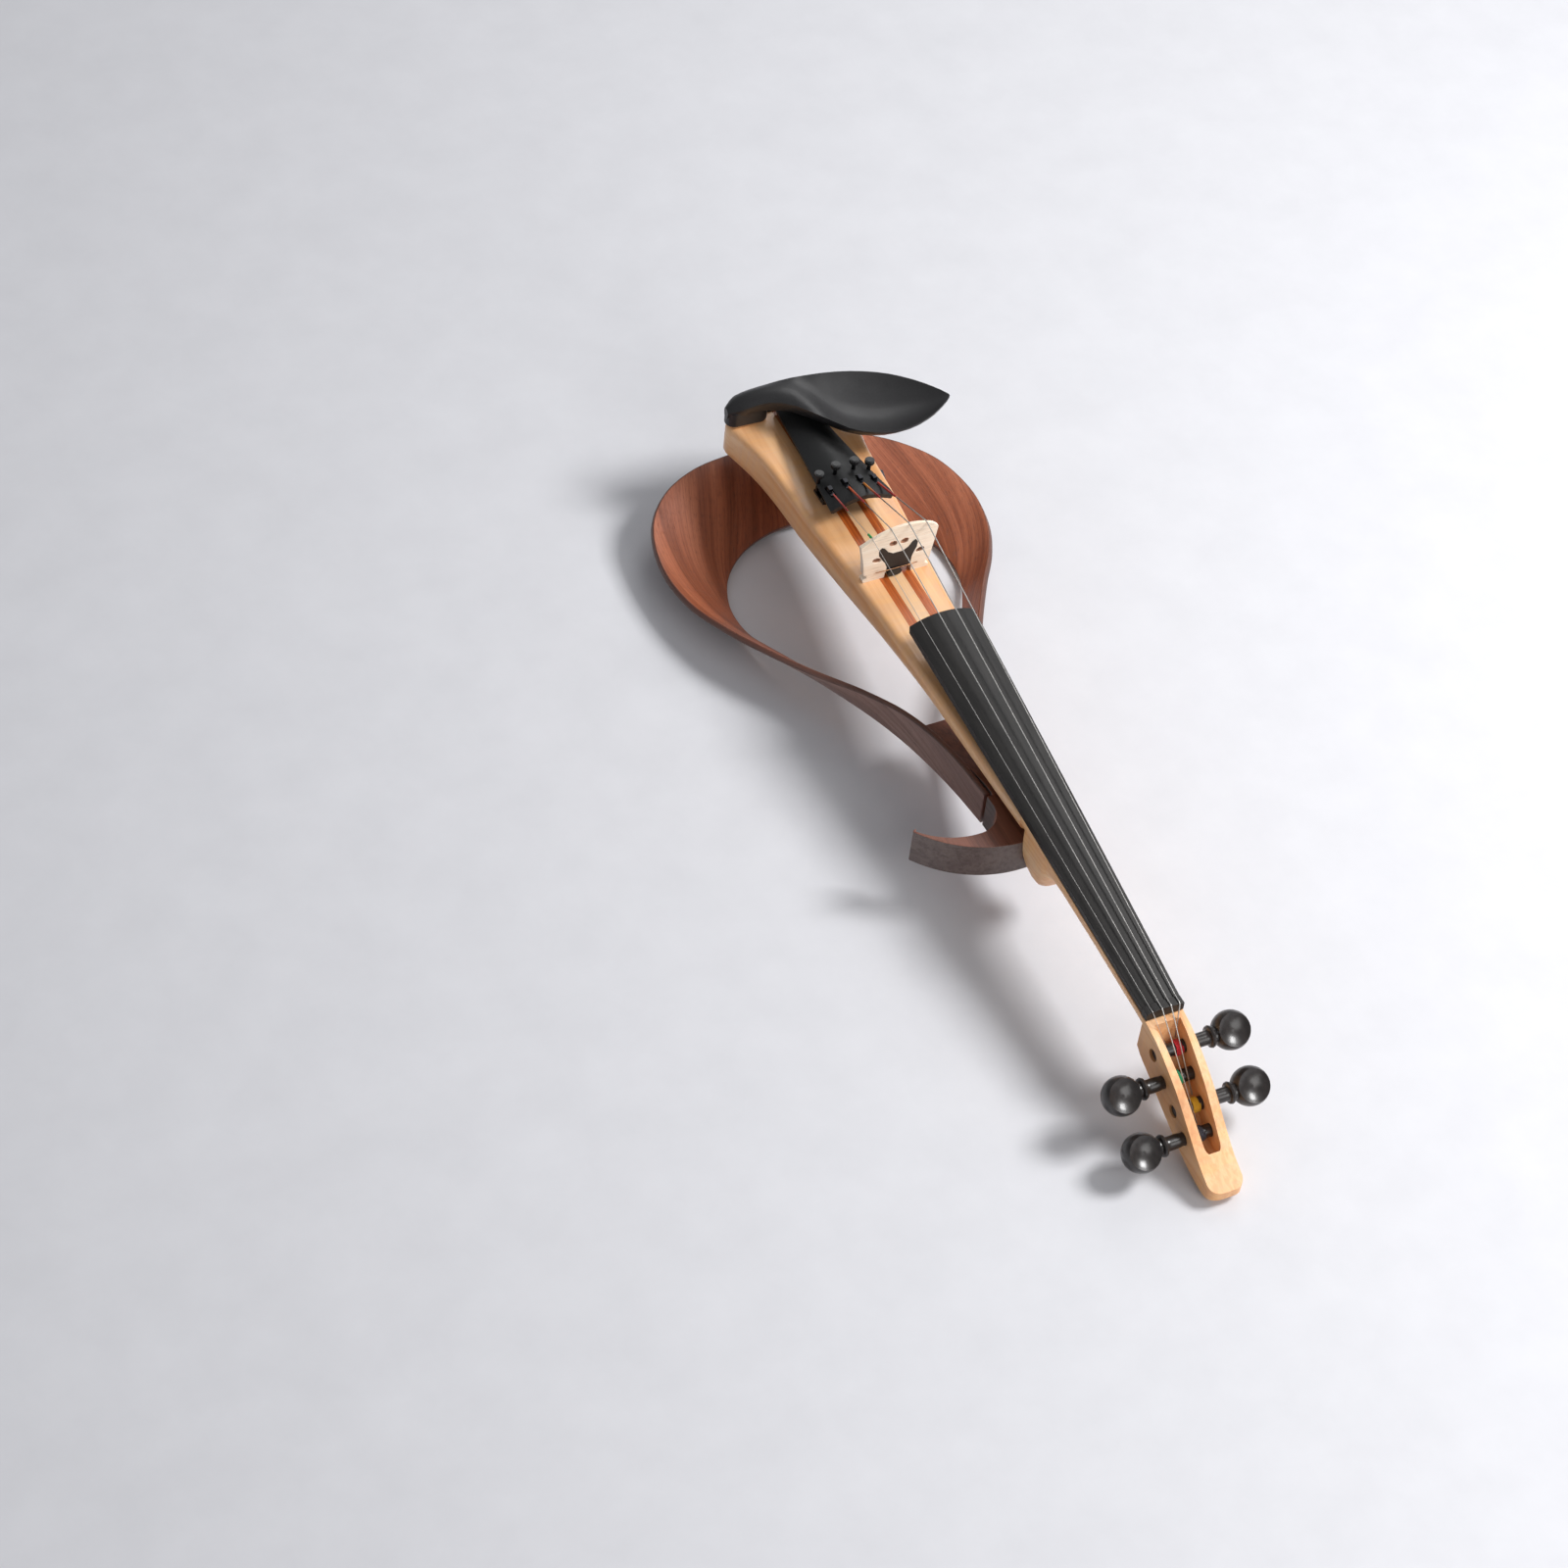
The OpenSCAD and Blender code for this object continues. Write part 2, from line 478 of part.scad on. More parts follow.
// ---- tailpiece and fine tuners --------------------------------------------------------------
tail_w = [[-144, 9.6], [-138, 10.6], [-120, 12.2], [-90, 15.2], [-60, 18.8], [-46, 20.5], [-44.5, 20]];
tail_crest = [[-144, 9], [-120, 11.4], [-90, 14.8], [-60, 18.6], [-50, 20.2], [-44.5, 19.9]];
tail_edge = [[-144, 5.6], [-120, 7.4], [-90, 10], [-60, 12.9], [-50, 14.2], [-44.5, 13.9]];
function tail_top(x, y) = smooth(tail_crest, y)
    - (smooth(tail_crest, y) - smooth(tail_edge, y)) * pow(abs(x) / smooth(tail_w, y), 1.7);
module tailpiece() {
    ys = concat([for (i = [0:15]) -144 + 6 * i], [-50, -46, -44.5]);
    color("#181818") {
        // Lug and pin that carry each fine tuner's lever
        for (k = [G:E])
            let(hx = abs(hook_x(k)))
                mirror([side[k] < 0 ? 1 : 0, 0, 0]) {
                    translate([hx - 2.9, pivot_y - 1.6, pivot_z(k) - 1.5])
                        cube([1.3, 3.2, tail_top(hx, pivot_y) - 2.4 - pivot_z(k) + 1.5]);
                    translate([0, pivot_y, pivot_z(k)]) along_x(hx - 2.2, abs(tuner_x[k]) + 1.5, tuner_pin_r);
                }
        difference() {
            loft([for (y = ys) let(w = smooth(tail_w, y), n = 10, t = y > -45 ? 3 : 4.2)
                concat([for (j = [0:n]) let(x = -w + 2 * w * j / n) [x, y, tail_top(x, y)]],
                    [for (j = [n:-1:0]) let(x = -w + 2 * w * j / n, q = x * 0.93)
                        [q, y, tail_top(x, y) - t + 0.6 * pow(q / w, 2)]])]);
            for (k = [G:E]) {
                translate([hook_x(k) - 1.5, hook_y - 7.5, 0]) cube([3, 10.5, 30]);
                translate([tuner_x[k], tuner_y, 0]) cylinder(h = 30, r = 1.3 + run, $fn = 32);
            }
            for (x = [-5, 5])
                translate([x, -152, 5.6]) rotate([-90, 0, 0]) cylinder(h = 14, r = 1.25, $fn = 24);
        }
    }
}
function tuner_top(k) = tail_top(tuner_x[k], tuner_y);
function pivot_z(k) = tuner_top(k) - 6.4;
module tuner_knob(k) {
    z = tuner_top(k) + 5;
    color("#141414")
        translate([tuner_x[k], tuner_y, z])
            difference() {
                union() {
                    cylinder(h = 2.6, r = 2.7, $fn = 48);
                    for (a = [0:20:340])
                        rotate([0, 0, a]) translate([2.65, 0, 0.3]) cylinder(h = 2, r = 0.33, $fn = 16);
                    translate([0, 0, 2.5]) cylinder(h = 0.5, r = 2.1, $fn = 48);
                }
                translate([0, 0, -1]) cylinder(h = 3, r = 1.2 + run, $fn = 32);
            }
}
module tuner_screw(k) {
    z = tuner_top(k);
    color("#303030") translate([tuner_x[k], tuner_y, z - 6.6]) cylinder(h = 13.4, r = 1.2, $fn = 32);
}
// Bell-crank lever: its arm lies under the screw and its claw holds the string's ball
module tuner_lever(k) {
    x = tuner_x[k];
    hx = hook_x(k);
    py = pivot_y;
    pz = pivot_z(k);
    color("#202020")
        difference() {
            union() {
                translate([x - 1.3, tuner_y - 2, pz - 2.1]) cube([2.6, 10, 1.55]);
                translate([min(x, hx) - 1.3, py - 1.6, pz - 1.8]) cube([abs(x - hx) + 2.6, 3.4, 3.6]);
                translate([hx - 1.2, hook_y - 4.6, pz]) cube([2.4, 3.2, hook_z(k) - pz + 1.6]);
                translate([hx - 1.2, hook_y - 4.6, hook_z(k) - 2]) cube([2.4, 6, 1.4]);
            }
            translate([0, py, pz]) along_x(-30, 30, tuner_pin_r + run);
        }
}

// ---- tail fittings ------------------------------------------------------------------------------
module tail_saddle() {
    color("#141414")
        translate([-14, -150.2, 0.05])
            rotate([90, 0, 90])
                linear_extrude(28)
                    polygon([[0.2, 0], [4.8, 0], [4.2, 1.8], [2.6, 2.6], [1, 2.4], [0.2, 1.4]]);
}
module end_button() {
    color("#161616")
        translate([0, -150, -13])
            rotate([90, 0, 0])
                rotate_extrude($fn = 48)
                    polygon([[0, -16], [3.95, -16], [3.95, 0.1], [6.4, 0.1], [6.6, 1], [5, 2.2], [4.4, 4.2],
                        [5, 5.6], [5.2, 7], [3.6, 8], [0, 8]]);
}
gut_loop_r = 5.85;
gut_half = [[5, -139, 5.6], [5, -144.6, 5.6], [5, -147, 4.9], [4.9, -149, 4.1], [5, -151.4, 1.4],
    [5.6, -152.9, -6], [gut_loop_r, -153.4, -12]];
module tail_gut() {
    loop = [for (a = [20:20:160]) [gut_loop_r * cos(a), -153.4, -13 - gut_loop_r * sin(a)]];
    other = [for (i = [len(gut_half) - 1:-1:0]) [-gut_half[i][0], gut_half[i][1], gut_half[i][2]]];
    color("#2a2a2a") cord(concat(gut_half, loop, other), 1, 10);
}

// ---- chinrest ------------------------------------------------------------------------------------
// Rear rim, front rim, rim height at the rear and front, depth of the dish, plate thickness
rest_rear = [[-84, -103], [-80, -109], [-70, -120], [-55, -131], [-35, -139.5], [-10, -145.5], [15, -149.5],
    [34, -150.5], [42, -146]];
rest_front = [[-84, -101.5], [-80, -98], [-66, -90], [-48, -85], [-30, -87], [-16, -95], [-4, -110],
    [8, -126], [20, -134], [34, -137], [42, -141]];
rest_back_z = [[-84, 22], [-70, 22.5], [-45, 23.5], [-20, 23.5], [0, 22], [15, 19.5], [28, 17], [38, 14.5],
    [42, 12.5]];
rest_front_z = [[-84, 22], [-66, 21.5], [-40, 22], [-20, 22.5], [-4, 23], [8, 22], [20, 20], [34, 16],
    [42, 12]];
rest_dish = [[-84, 0], [-70, 5], [-45, 9], [-25, 8.5], [-12, 5], [-4, 0], [5, -2.5], [20, -3.5], [34, -3],
    [42, -1.5]];
rest_under = [[-84, 1], [-70, 3.5], [-45, 4.5], [-20, 6], [0, 11], [15, 12.5], [28, 11], [42, 6]];
rest_rim = 1.5;
function rest_ring(x) = let(n = 12, r = smooth(rest_rear, x), f = smooth(rest_front, x),
    zr = smooth(rest_back_z, x), zf = smooth(rest_front_z, x), dish = smooth(rest_dish, x),
    t = smooth(rest_under, x),
    top = [for (j = [0:n]) zr + (zf - zr) * j / n - dish * pow(sin(180 * j / n), 0.9)])
    concat([for (j = [0:n]) [x, r + (f - r) * j / n, top[j]]],
        [for (j = [n:-1:0]) [x, r + (f - r) * j / n, top[j] - rest_rim - t * pow(sin(180 * j / n), 0.5)]]);
module chinrest() {
    xs = [-84, -83, -81, -78, -74, -69, -63, -57, -50, -43, -36, -29, -22, -15, -8, -1, 6, 13, 19, 25, 30, 34,
        37.5, 40, 42];
    color("#1b1b1c")
        difference() {
            union() {
                loft([for (x = xs) rest_ring(x)]);
                hull() {
                    translate([21.5, -144, 2]) cylinder(h = 12, r = 6.4, $fn = 48);
                    translate([36, -144, 2]) cylinder(h = 9.6, r = 5.8, $fn = 48);
                }
                hull() {
                    translate([-24, -136, 2]) cylinder(h = 14, r = 5, $fn = 32);
                    translate([-28, -135, 2]) cylinder(h = 13, r = 5, $fn = 32);
                }
            }
            for (x = clamp_x)
                translate([x, clamp_y, 5.6])
                    rotate([-90, 0, 0]) cylinder(h = 9, r = clamp_stud_r + run, $fn = 32);
        }
}
module chinrest_corks() {
    color("peru") {
        hull() {
            translate([21.5, -144, 0.15]) cylinder(h = 1.8, r = 5.4, $fn = 32);
            translate([35, -143.6, 0.15]) cylinder(h = 1.8, r = 5, $fn = 32);
        }
        hull() {
            translate([-24, -136, 0.15]) cylinder(h = 1.8, r = 4.6, $fn = 32);
            translate([-28, -135, 0.15]) cylinder(h = 1.8, r = 4.6, $fn = 32);
        }
        // Pad between the clamp's foot and the body's underside
        loft([for (y = [-147, -144.5, -142]) concat([for (x = [18:3:30]) [x, y, belly(x, y) - 3 * glue]],
            [for (x = [30:-3:18]) [x, y, clamp_plate_z + clamp_plate_t + glue]])]);
    }
}
// Metal clamp behind the tail: a foot under the body and two studs in barrel nuts
module chinrest_bracket() {
    color("silver") {
        translate([clamp_x[0] - 3.5, clamp_y - 2.6, clamp_plate_z])
            cube([clamp_x[1] - clamp_x[0] + 7, 15, clamp_plate_t]);
        for (x = clamp_x)
            translate([x, clamp_y, clamp_plate_z + 1]) cylinder(h = 14, r = clamp_stud_r, $fn = 32);
    }
}
module chinrest_studs() {
    color("silver")
        for (x = clamp_x) {
            translate([x, clamp_y, -10]) cylinder(h = 15.6, r = clamp_stud_r, $fn = 32);
            translate([x, clamp_y, 5.6]) rotate([-90, 0, 0]) cylinder(h = 8.4, r = clamp_stud_r, $fn = 32);
            translate([x, clamp_y, 5.6]) sphere(r = clamp_stud_r + 0.2, $fn = 24);
        }
}
module clamp_barrel(x) {
    color("gainsboro")
        translate([x, clamp_y, -26])
            difference() {
                rotate_extrude($fn = 48)
                    polygon([[clamp_stud_r + run, 0], [2.7, 0], [3.1, 0.5], [3.1, 19.5], [2.7, 20],
                        [clamp_stud_r + run, 20]]);
                for (z = [8, 12]) translate([-6, 0, z]) along_x(0, 12, 0.7);
            }
}

// ---- controls inside the body ------------------------------------------------------------------------
cover_l = cavity[1] - 0.6;
cover_w = cavity[0] - 0.6;
module at_cover_corners() for (x = [-1, 1], y = [-1, 1])
    translate([x * (cover_w / 2 - 2.6), cavity_y + y * (cover_l / 2 - 2.6), cover_z]) children();
module control_cover() {
    color("#202020")
        difference() {
            union() {
                translate([-cover_w / 2, cavity_y - cover_l / 2, cover_z]) cube([cover_w, cover_l, cover_t]);
                at_cover_corners() translate([0, 0, cover_t]) cylinder(h = 8, r = 2.1, $fn = 32);
            }
            translate([0, knob_y, cover_z - 1]) cylinder(h = 5, r = 3.6, $fn = 48);
            at_cover_corners() translate([0, 0, -1]) cylinder(h = 9, r = 1.15, $fn = 32);
        }
}
module cover_screws() {
    color("dimgray")
        at_cover_corners() {
            translate([0, 0, -0.1]) cylinder(h = 7.5, r = 1.1, $fn = 32);
            difference() {
                translate([0, 0, -1.5]) cylinder(h = 1.4, r = 2.2, $fn = 48);
                translate([-0.3, -1.6, -2]) cube([0.6, 3.2, 1.2]);
                translate([-1.6, -0.3, -2]) cube([3.2, 0.6, 1.2]);
            }
        }
}
module preamp_board() {
    color("darkgreen") translate([-11, -106, -9.4]) cube([22, 15, 1.6]);
    color("#222222") {
        translate([-5, -102, -13]) cube([9, 6, 3.7]);
        for (x = [-8, 8]) translate([x, -95, -14.4]) cylinder(h = 5.1, r = 2, $fn = 32);
    }
}
module volume_pot() {
    color("silver") {
        translate([0, knob_y, -25]) cylinder(h = 9, r = 8.2, $fn = 64);
        translate([0, knob_y, cover_z + cover_t + 0.05])
            difference() {
                cylinder(h = 4.6, r = 3.5, $fn = 48);
                translate([0, 0, -1]) cylinder(h = 10, r = 3 + run, $fn = 48);
            }
    }
}
module volume_knob() {
    color("#191919")
        translate([0, knob_y, cover_z])
            rotate_extrude($fn = 64)
                polygon([[0, -9.8], [6.2, -9.8], [7, -9], [7.2, -3], [7.3, -0.6], [3, -0.6], [3, 5.6],
                    [0, 5.6]]);
}
module output_jack() {
    color("silver") {
        translate([0, jack_y, jack_z])
            rotate([0, 90, 0])
                rotate_extrude($fn = 64)
                    polygon([[jack_bore_r, jack_end_x], [jack_r, jack_end_x], [jack_r, -12.95], [5.2, -12.95],
                        [5.2, barrel_end_x], [jack_bore_r, barrel_end_x]]);
        // Contact springs above and below the plug's tip, on a back plate
        for (z = [-4.4, 3.6]) translate([barrel_end_x - 0.6, jack_y - 2, jack_z + z]) cube([10.4, 4, 0.8]);
        translate([-2.1, jack_y - 4, jack_z - 4.4]) cube([1, 8, 8.8]);
    }
}
module jack_nut() {
    color("gainsboro")
        translate([-31.25, jack_y, jack_z])
            rotate([0, -90, 0])
                difference() {
                    cylinder(h = 2.2, r = 6.3, $fn = 6);
                    translate([0, 0, -1]) cylinder(h = 5, r = jack_r + run, $fn = 48);
                }
}

seat() body_treble_side();
seat() body_bass_side();
seat() body_stripe_treble();
seat() body_stripe_bass();
seat() body_centre();
seat() tail_block();
seat() frame_treble();
seat() frame_bass();
seat() frame_hook();
seat() frame_screws();
seat() neck();
seat() pegbox();
seat() fingerboard();
seat() nut();
seat() bridge();
seat() bridge_pickup();
seat() pickup_lead();
seat() pickup_grommet();
seat() tailpiece();
seat() tail_gut();
seat() tail_saddle();
seat() end_button();
seat() string_node(G);  // string_g
seat() string_node(D);  // string_d
seat() string_node(A);  // string_a
seat() string_node(E);  // string_e
seat() e_string_sleeve();
seat() peg(G);  // peg_g
seat() peg(D);  // peg_d
seat() peg(A);  // peg_a
seat() peg(E);  // peg_e
seat() winding(G, "firebrick");  // winding_g
seat() winding(D, "gold");  // winding_d
seat() winding(A, "#2b2b2b");  // winding_a
seat() winding(E, "teal");  // winding_e
seat() tuner_knob(G);  // tuner_knob_g
seat() tuner_knob(D);  // tuner_knob_d
seat() tuner_knob(A);  // tuner_knob_a
seat() tuner_knob(E);  // tuner_knob_e
seat() tuner_screw(G);  // tuner_screw_g
seat() tuner_screw(D);  // tuner_screw_d
seat() tuner_screw(A);  // tuner_screw_a
seat() tuner_screw(E);  // tuner_screw_e
seat() tuner_lever(G);  // tuner_lever_g
seat() tuner_lever(D);  // tuner_lever_d
seat() tuner_lever(A);  // tuner_lever_a
seat() tuner_lever(E);  // tuner_lever_e
seat() chinrest();
seat() chinrest_corks();
seat() chinrest_bracket();
seat() chinrest_studs();
seat() clamp_barrel(clamp_x[0]);  // clamp_barrel_inner
seat() clamp_barrel(clamp_x[1]);  // clamp_barrel_outer
seat() control_cover();
seat() cover_screws();
seat() preamp_board();
seat() volume_pot();
seat() volume_knob();
seat() output_jack();
seat() jack_nut();
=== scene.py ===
"""Looks of an electric violin with an open ribbon frame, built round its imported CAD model."""
import json
import math

import bmesh
import bpy
from mathutils import Matrix, Vector


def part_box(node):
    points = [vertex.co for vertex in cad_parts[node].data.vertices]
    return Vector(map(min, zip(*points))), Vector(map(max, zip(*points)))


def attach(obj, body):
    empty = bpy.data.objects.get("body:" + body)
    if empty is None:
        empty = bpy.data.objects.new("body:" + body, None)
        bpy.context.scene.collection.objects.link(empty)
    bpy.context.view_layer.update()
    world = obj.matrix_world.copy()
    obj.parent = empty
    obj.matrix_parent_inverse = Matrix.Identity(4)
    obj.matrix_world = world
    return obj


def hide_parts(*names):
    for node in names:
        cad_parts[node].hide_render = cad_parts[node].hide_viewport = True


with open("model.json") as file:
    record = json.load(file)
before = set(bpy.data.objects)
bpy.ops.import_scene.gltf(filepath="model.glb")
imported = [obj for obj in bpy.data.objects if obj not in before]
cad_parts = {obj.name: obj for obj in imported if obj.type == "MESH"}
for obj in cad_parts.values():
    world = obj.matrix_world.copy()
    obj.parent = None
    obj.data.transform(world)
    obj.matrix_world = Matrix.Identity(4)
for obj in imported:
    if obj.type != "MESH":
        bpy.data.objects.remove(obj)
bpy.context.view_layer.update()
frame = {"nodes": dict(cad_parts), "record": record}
scene = bpy.context.scene

ROOT = "violin"
STRINGS = "gdae"
# The bridge stands this far above the flat top of the body
BRIDGE_LIFT = 0.00005
bridge_low, bridge_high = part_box("bridge")
BRIDGE_FOOT = Vector((0, (bridge_low.y + bridge_high.y) / 2, bridge_low.z - BRIDGE_LIFT))


def mm(x, y, z):
    """A place in the frame, from millimetres measured from the middle of the bridge's foot."""
    return BRIDGE_FOOT + Vector((x, y, z)) / 1000


# ---- material tools ----------------------------------------------------------------
def srgb(r, g, b):
    """Linear colour from 0-255 screen values."""
    def lin(c):
        c /= 255
        return c / 12.92 if c <= 0.04045 else ((c + 0.055) / 1.055) ** 2.4
    return (lin(r), lin(g), lin(b), 1.0)


def scaled(colour, factor, lift=0.0):
    """The colour with its three channels multiplied by factor, then raised by lift."""
    return tuple(min(1.0, c * factor + lift) for c in colour[:3]) + (1.0,)


mats = {}


class Mat:
    """A Principled material, kept in mats, with short calls for the nodes that feed it."""

    def __init__(self, name, rough, coat=0.0, coat_rough=0.2, metallic=0.0, sheen=0.0):
        self.mat = bpy.data.materials.new(name)
        self.mat.use_nodes = True
        self.nt = self.mat.node_tree
        self.bsdf = self.nt.nodes["Principled BSDF"]
        for socket, value in (("Roughness", rough), ("Coat Weight", coat), ("Coat Roughness", coat_rough),
                              ("Metallic", metallic), ("Sheen Weight", sheen)):
            self.bsdf.inputs[socket].default_value = value
        mats[name] = self

    def node(self, kind, inputs=None, **settings):
        """A new node with its settings made and its named inputs linked or set."""
        n = self.nt.nodes.new(kind)
        for key, value in settings.items():
            setattr(n, key, value)
        for key, value in (inputs or {}).items():
            self.feed(n.inputs[key], value)
        return n

    def feed(self, socket, value):
        """Link an output to the socket, or set a plain value on it."""
        if isinstance(value, bpy.types.NodeSocket):
            self.nt.links.new(value, socket)
        else:
            socket.default_value = value

    def coords(self, scale, source="Object", offset=(0, 0, 0)):
        """Object or UV coordinates stretched by scale, in cells per metre."""
        place = self.node("ShaderNodeTexCoord").outputs[source]
        n = self.node("ShaderNodeMapping", {"Vector": place, "Scale": scale, "Location": offset})
        return n.outputs["Vector"]

    def noise(self, vector, detail, rough, distort=0.0):
        n = self.node("ShaderNodeTexNoise", {"Vector": vector, "Scale": 1.0, "Detail": detail,
                                             "Roughness": rough, "Distortion": distort})
        return n.outputs["Fac"]

    def ramp(self, value, stops, colours):
        n = self.node("ShaderNodeValToRGB", {"Fac": value})
        elements = n.color_ramp.elements
        while len(elements) < len(stops):
            elements.new(0.5)
        for element, position, colour in zip(elements, stops, colours):
            element.position = position
            element.color = colour
        return n.outputs["Color"]

    def mix(self, factor, a, b, blend="MIX"):
        """a mixed with b; sockets 6 and 7 are the Mix node's two colours."""
        n = self.node("ShaderNodeMix", {"Factor": factor, 6: a, 7: b}, data_type="RGBA", blend_type=blend)
        return n.outputs[2]

    def remap(self, value, low, high, to_low, to_high):
        n = self.node("ShaderNodeMapRange", {"Value": value, "From Min": low, "From Max": high,
                                             "To Min": to_low, "To Max": to_high})
        return n.outputs["Result"]

    def math(self, operation, a, b=0.0):
        return self.node("ShaderNodeMath", {0: a, 1: b}, operation=operation).outputs[0]

    def axis(self, vector, name):
        """One axis of a vector output."""
        return self.node("ShaderNodeSeparateXYZ", {0: vector}).outputs[name]

    def bump(self, height, distance, strength):
        """Add a bump on top of any that is there already."""
        n = self.node("ShaderNodeBump", {"Height": height, "Distance": distance, "Strength": strength})
        normal = self.bsdf.inputs["Normal"]
        if normal.is_linked:
            self.feed(n.inputs["Normal"], normal.links[0].from_socket)
        self.feed(normal, n.outputs["Normal"])

    def colour(self, value):
        self.feed(self.bsdf.inputs["Base Color"], value)

    def roughness(self, value):
        self.feed(self.bsdf.inputs["Roughness"], value)


# ---- wood --------------------------------------------------------------------------
MAPLE = (srgb(214, 158, 110), srgb(234, 182, 134), srgb(243, 202, 160))
MAPLE_PALE = (srgb(212, 166, 124), srgb(230, 188, 146), srgb(239, 203, 165))
BRIDGE_MAPLE = (srgb(236, 214, 188), srgb(246, 230, 210), srgb(250, 238, 222))
# Walls of the bridge's eyes: darker end grain, with painted shade of the holes
EYE_GRAIN_SHADE = (srgb(132, 88, 62), srgb(168, 118, 88), srgb(190, 142, 112))
MAHOGANY = (srgb(156, 74, 26), srgb(192, 98, 36), srgb(210, 120, 50))
WALNUT_IN = (srgb(118, 64, 42), srgb(158, 90, 60), srgb(184, 112, 78))
# Ribbon's outer face: the walnut with painted shade and a greyish floor reflection
WALNUT_OUT_SHADED = (srgb(116, 88, 80), srgb(144, 114, 104), srgb(160, 128, 118))
# Hook's upright outer faces: the walnut with painted shade and a greyish floor reflection
WALNUT_SHADED = (srgb(84, 68, 64), srgb(98, 82, 77), srgb(108, 92, 86))
# Hook's top: painted shade, where the fingerboard shades it
HOOK_TOP_SHADE = srgb(104, 62, 48)
HOOK_LINE = srgb(120, 84, 70)
HOOK_PORE = srgb(38, 20, 16)
RIBBON_STREAK = srgb(160, 120, 108)
RIBBON_LINE = srgb(170, 130, 112)
RIBBON_PORE = srgb(48, 24, 18)
# Ribbon rims: painted shade along the band's edges
RIBBON_RIM_SHADE = srgb(44, 24, 20)
# Where the three tones of a board lie in its noise
WOOD_STOPS = (0.3, 0.5, 0.7)
HOOK_STOPS = (0.3, 0.5, 0.72)
RIBBON_STOPS = (0.22, 0.48, 0.78)
# Cells per metre of each layer of sawn wood, across and along the grain
TONE_CELLS = (55, 3.5)
FLAME_CELLS = (22, 150)
PORE_CELLS = (2600, 90)
LINE_LENGTH = 6
# How deep the bumps of the grain and of the pores go
GRAIN_DEPTH = 0.00006
PORE_DEPTH = 0.000096


def wood(name, tones, seed, lines, rough, coat=0.25, pores=0.0, figure=0.0, line_cells=420.0, along=1):
    """Wood with its grain along one axis; lines, pores and figure are strengths."""
    m = Mat(name, rough=rough, coat=coat, coat_rough=0.22)

    def stretched(across, length, shift=0.0):
        cells = [across, across, across]
        cells[along] = length
        return m.coords(tuple(cells), offset=(seed + shift, seed * 0.7 - shift, seed * 1.3))

    tone = m.noise(stretched(*TONE_CELLS), detail=5, rough=0.55, distort=0.4)
    colour = m.ramp(tone, WOOD_STOPS, tones)
    rings = m.noise(stretched(line_cells, LINE_LENGTH, shift=3), detail=3, rough=0.6, distort=0.6)
    colour = m.mix(m.remap(rings, 0.42, 0.62, 0, lines), colour, tones[0], "MULTIPLY")
    if figure:
        flame = m.noise(stretched(*FLAME_CELLS, shift=7), detail=2, rough=0.5, distort=1.2)
        colour = m.mix(m.remap(flame, 0.35, 0.65, 0, figure), colour, tones[2], "SOFT_LIGHT")
    if pores:
        dots = m.noise(stretched(*PORE_CELLS, shift=11), detail=1, rough=0.5)
        colour = m.mix(m.remap(dots, 0.60, 0.70, 0, pores), colour, scaled(tones[0], 0.35))
        m.bump(m.remap(dots, 0.58, 0.72, 1, 0), PORE_DEPTH, 0.7)
    m.bump(rings, GRAIN_DEPTH, 0.35)
    m.colour(colour)
    m.roughness(m.remap(tone, 0.3, 0.7, rough - 0.06, rough + 0.08))


def hook_material():
    """Walnut block, redder on the hollow side, with painted shade: grey-brown on its upright outer faces
    and dark brown on the top.
    """
    m = Mat("walnut_hook", rough=0.42, coat=0.15, coat_rough=0.3)
    normal = m.node("ShaderNodeNewGeometry").outputs["Normal"]
    upright = m.axis(normal, "Z")
    tone = m.noise(m.coords((60, 5, 60), offset=(4, 1, 2)), detail=5, rough=0.55, distort=0.4)
    warm = m.ramp(tone, HOOK_STOPS, WALNUT_IN)
    # Painted shade: a grey-brown copy of the walnut for the upright outer faces
    shaded = m.ramp(tone, HOOK_STOPS, WALNUT_SHADED)
    outward = m.math("ADD", m.math("MULTIPLY", m.axis(normal, "X"), 0.5),
                     m.math("MULTIPLY", m.axis(normal, "Y"), 0.9))
    sides = m.remap(m.math("ABSOLUTE", upright), 0.5, 0.8, 1, 0)
    colour = m.mix(m.math("MULTIPLY", m.remap(outward, 0.1, 0.35, 0, 1), sides), warm, shaded)
    # Painted shade on the top faces
    colour = m.mix(m.remap(upright, 0.6, 0.9, 0, 0.85), colour, HOOK_TOP_SHADE)
    lines = m.noise(m.coords((480, 9, 480), offset=(3, 1, 0)), detail=4, rough=0.62, distort=0.5)
    colour = m.mix(m.remap(lines, 0.44, 0.62, 0, 0.45), colour, HOOK_LINE, "MULTIPLY")
    dots = m.noise(m.coords((2400, 110, 2400), offset=(5, 2, 0)), detail=1, rough=0.5)
    m.colour(m.mix(m.remap(dots, 0.62, 0.7, 0, 0.4), colour, HOOK_PORE))
    m.bump(lines, 0.00005, 0.3)
    m.roughness(m.remap(tone, 0.3, 0.7, 0.36, 0.5))


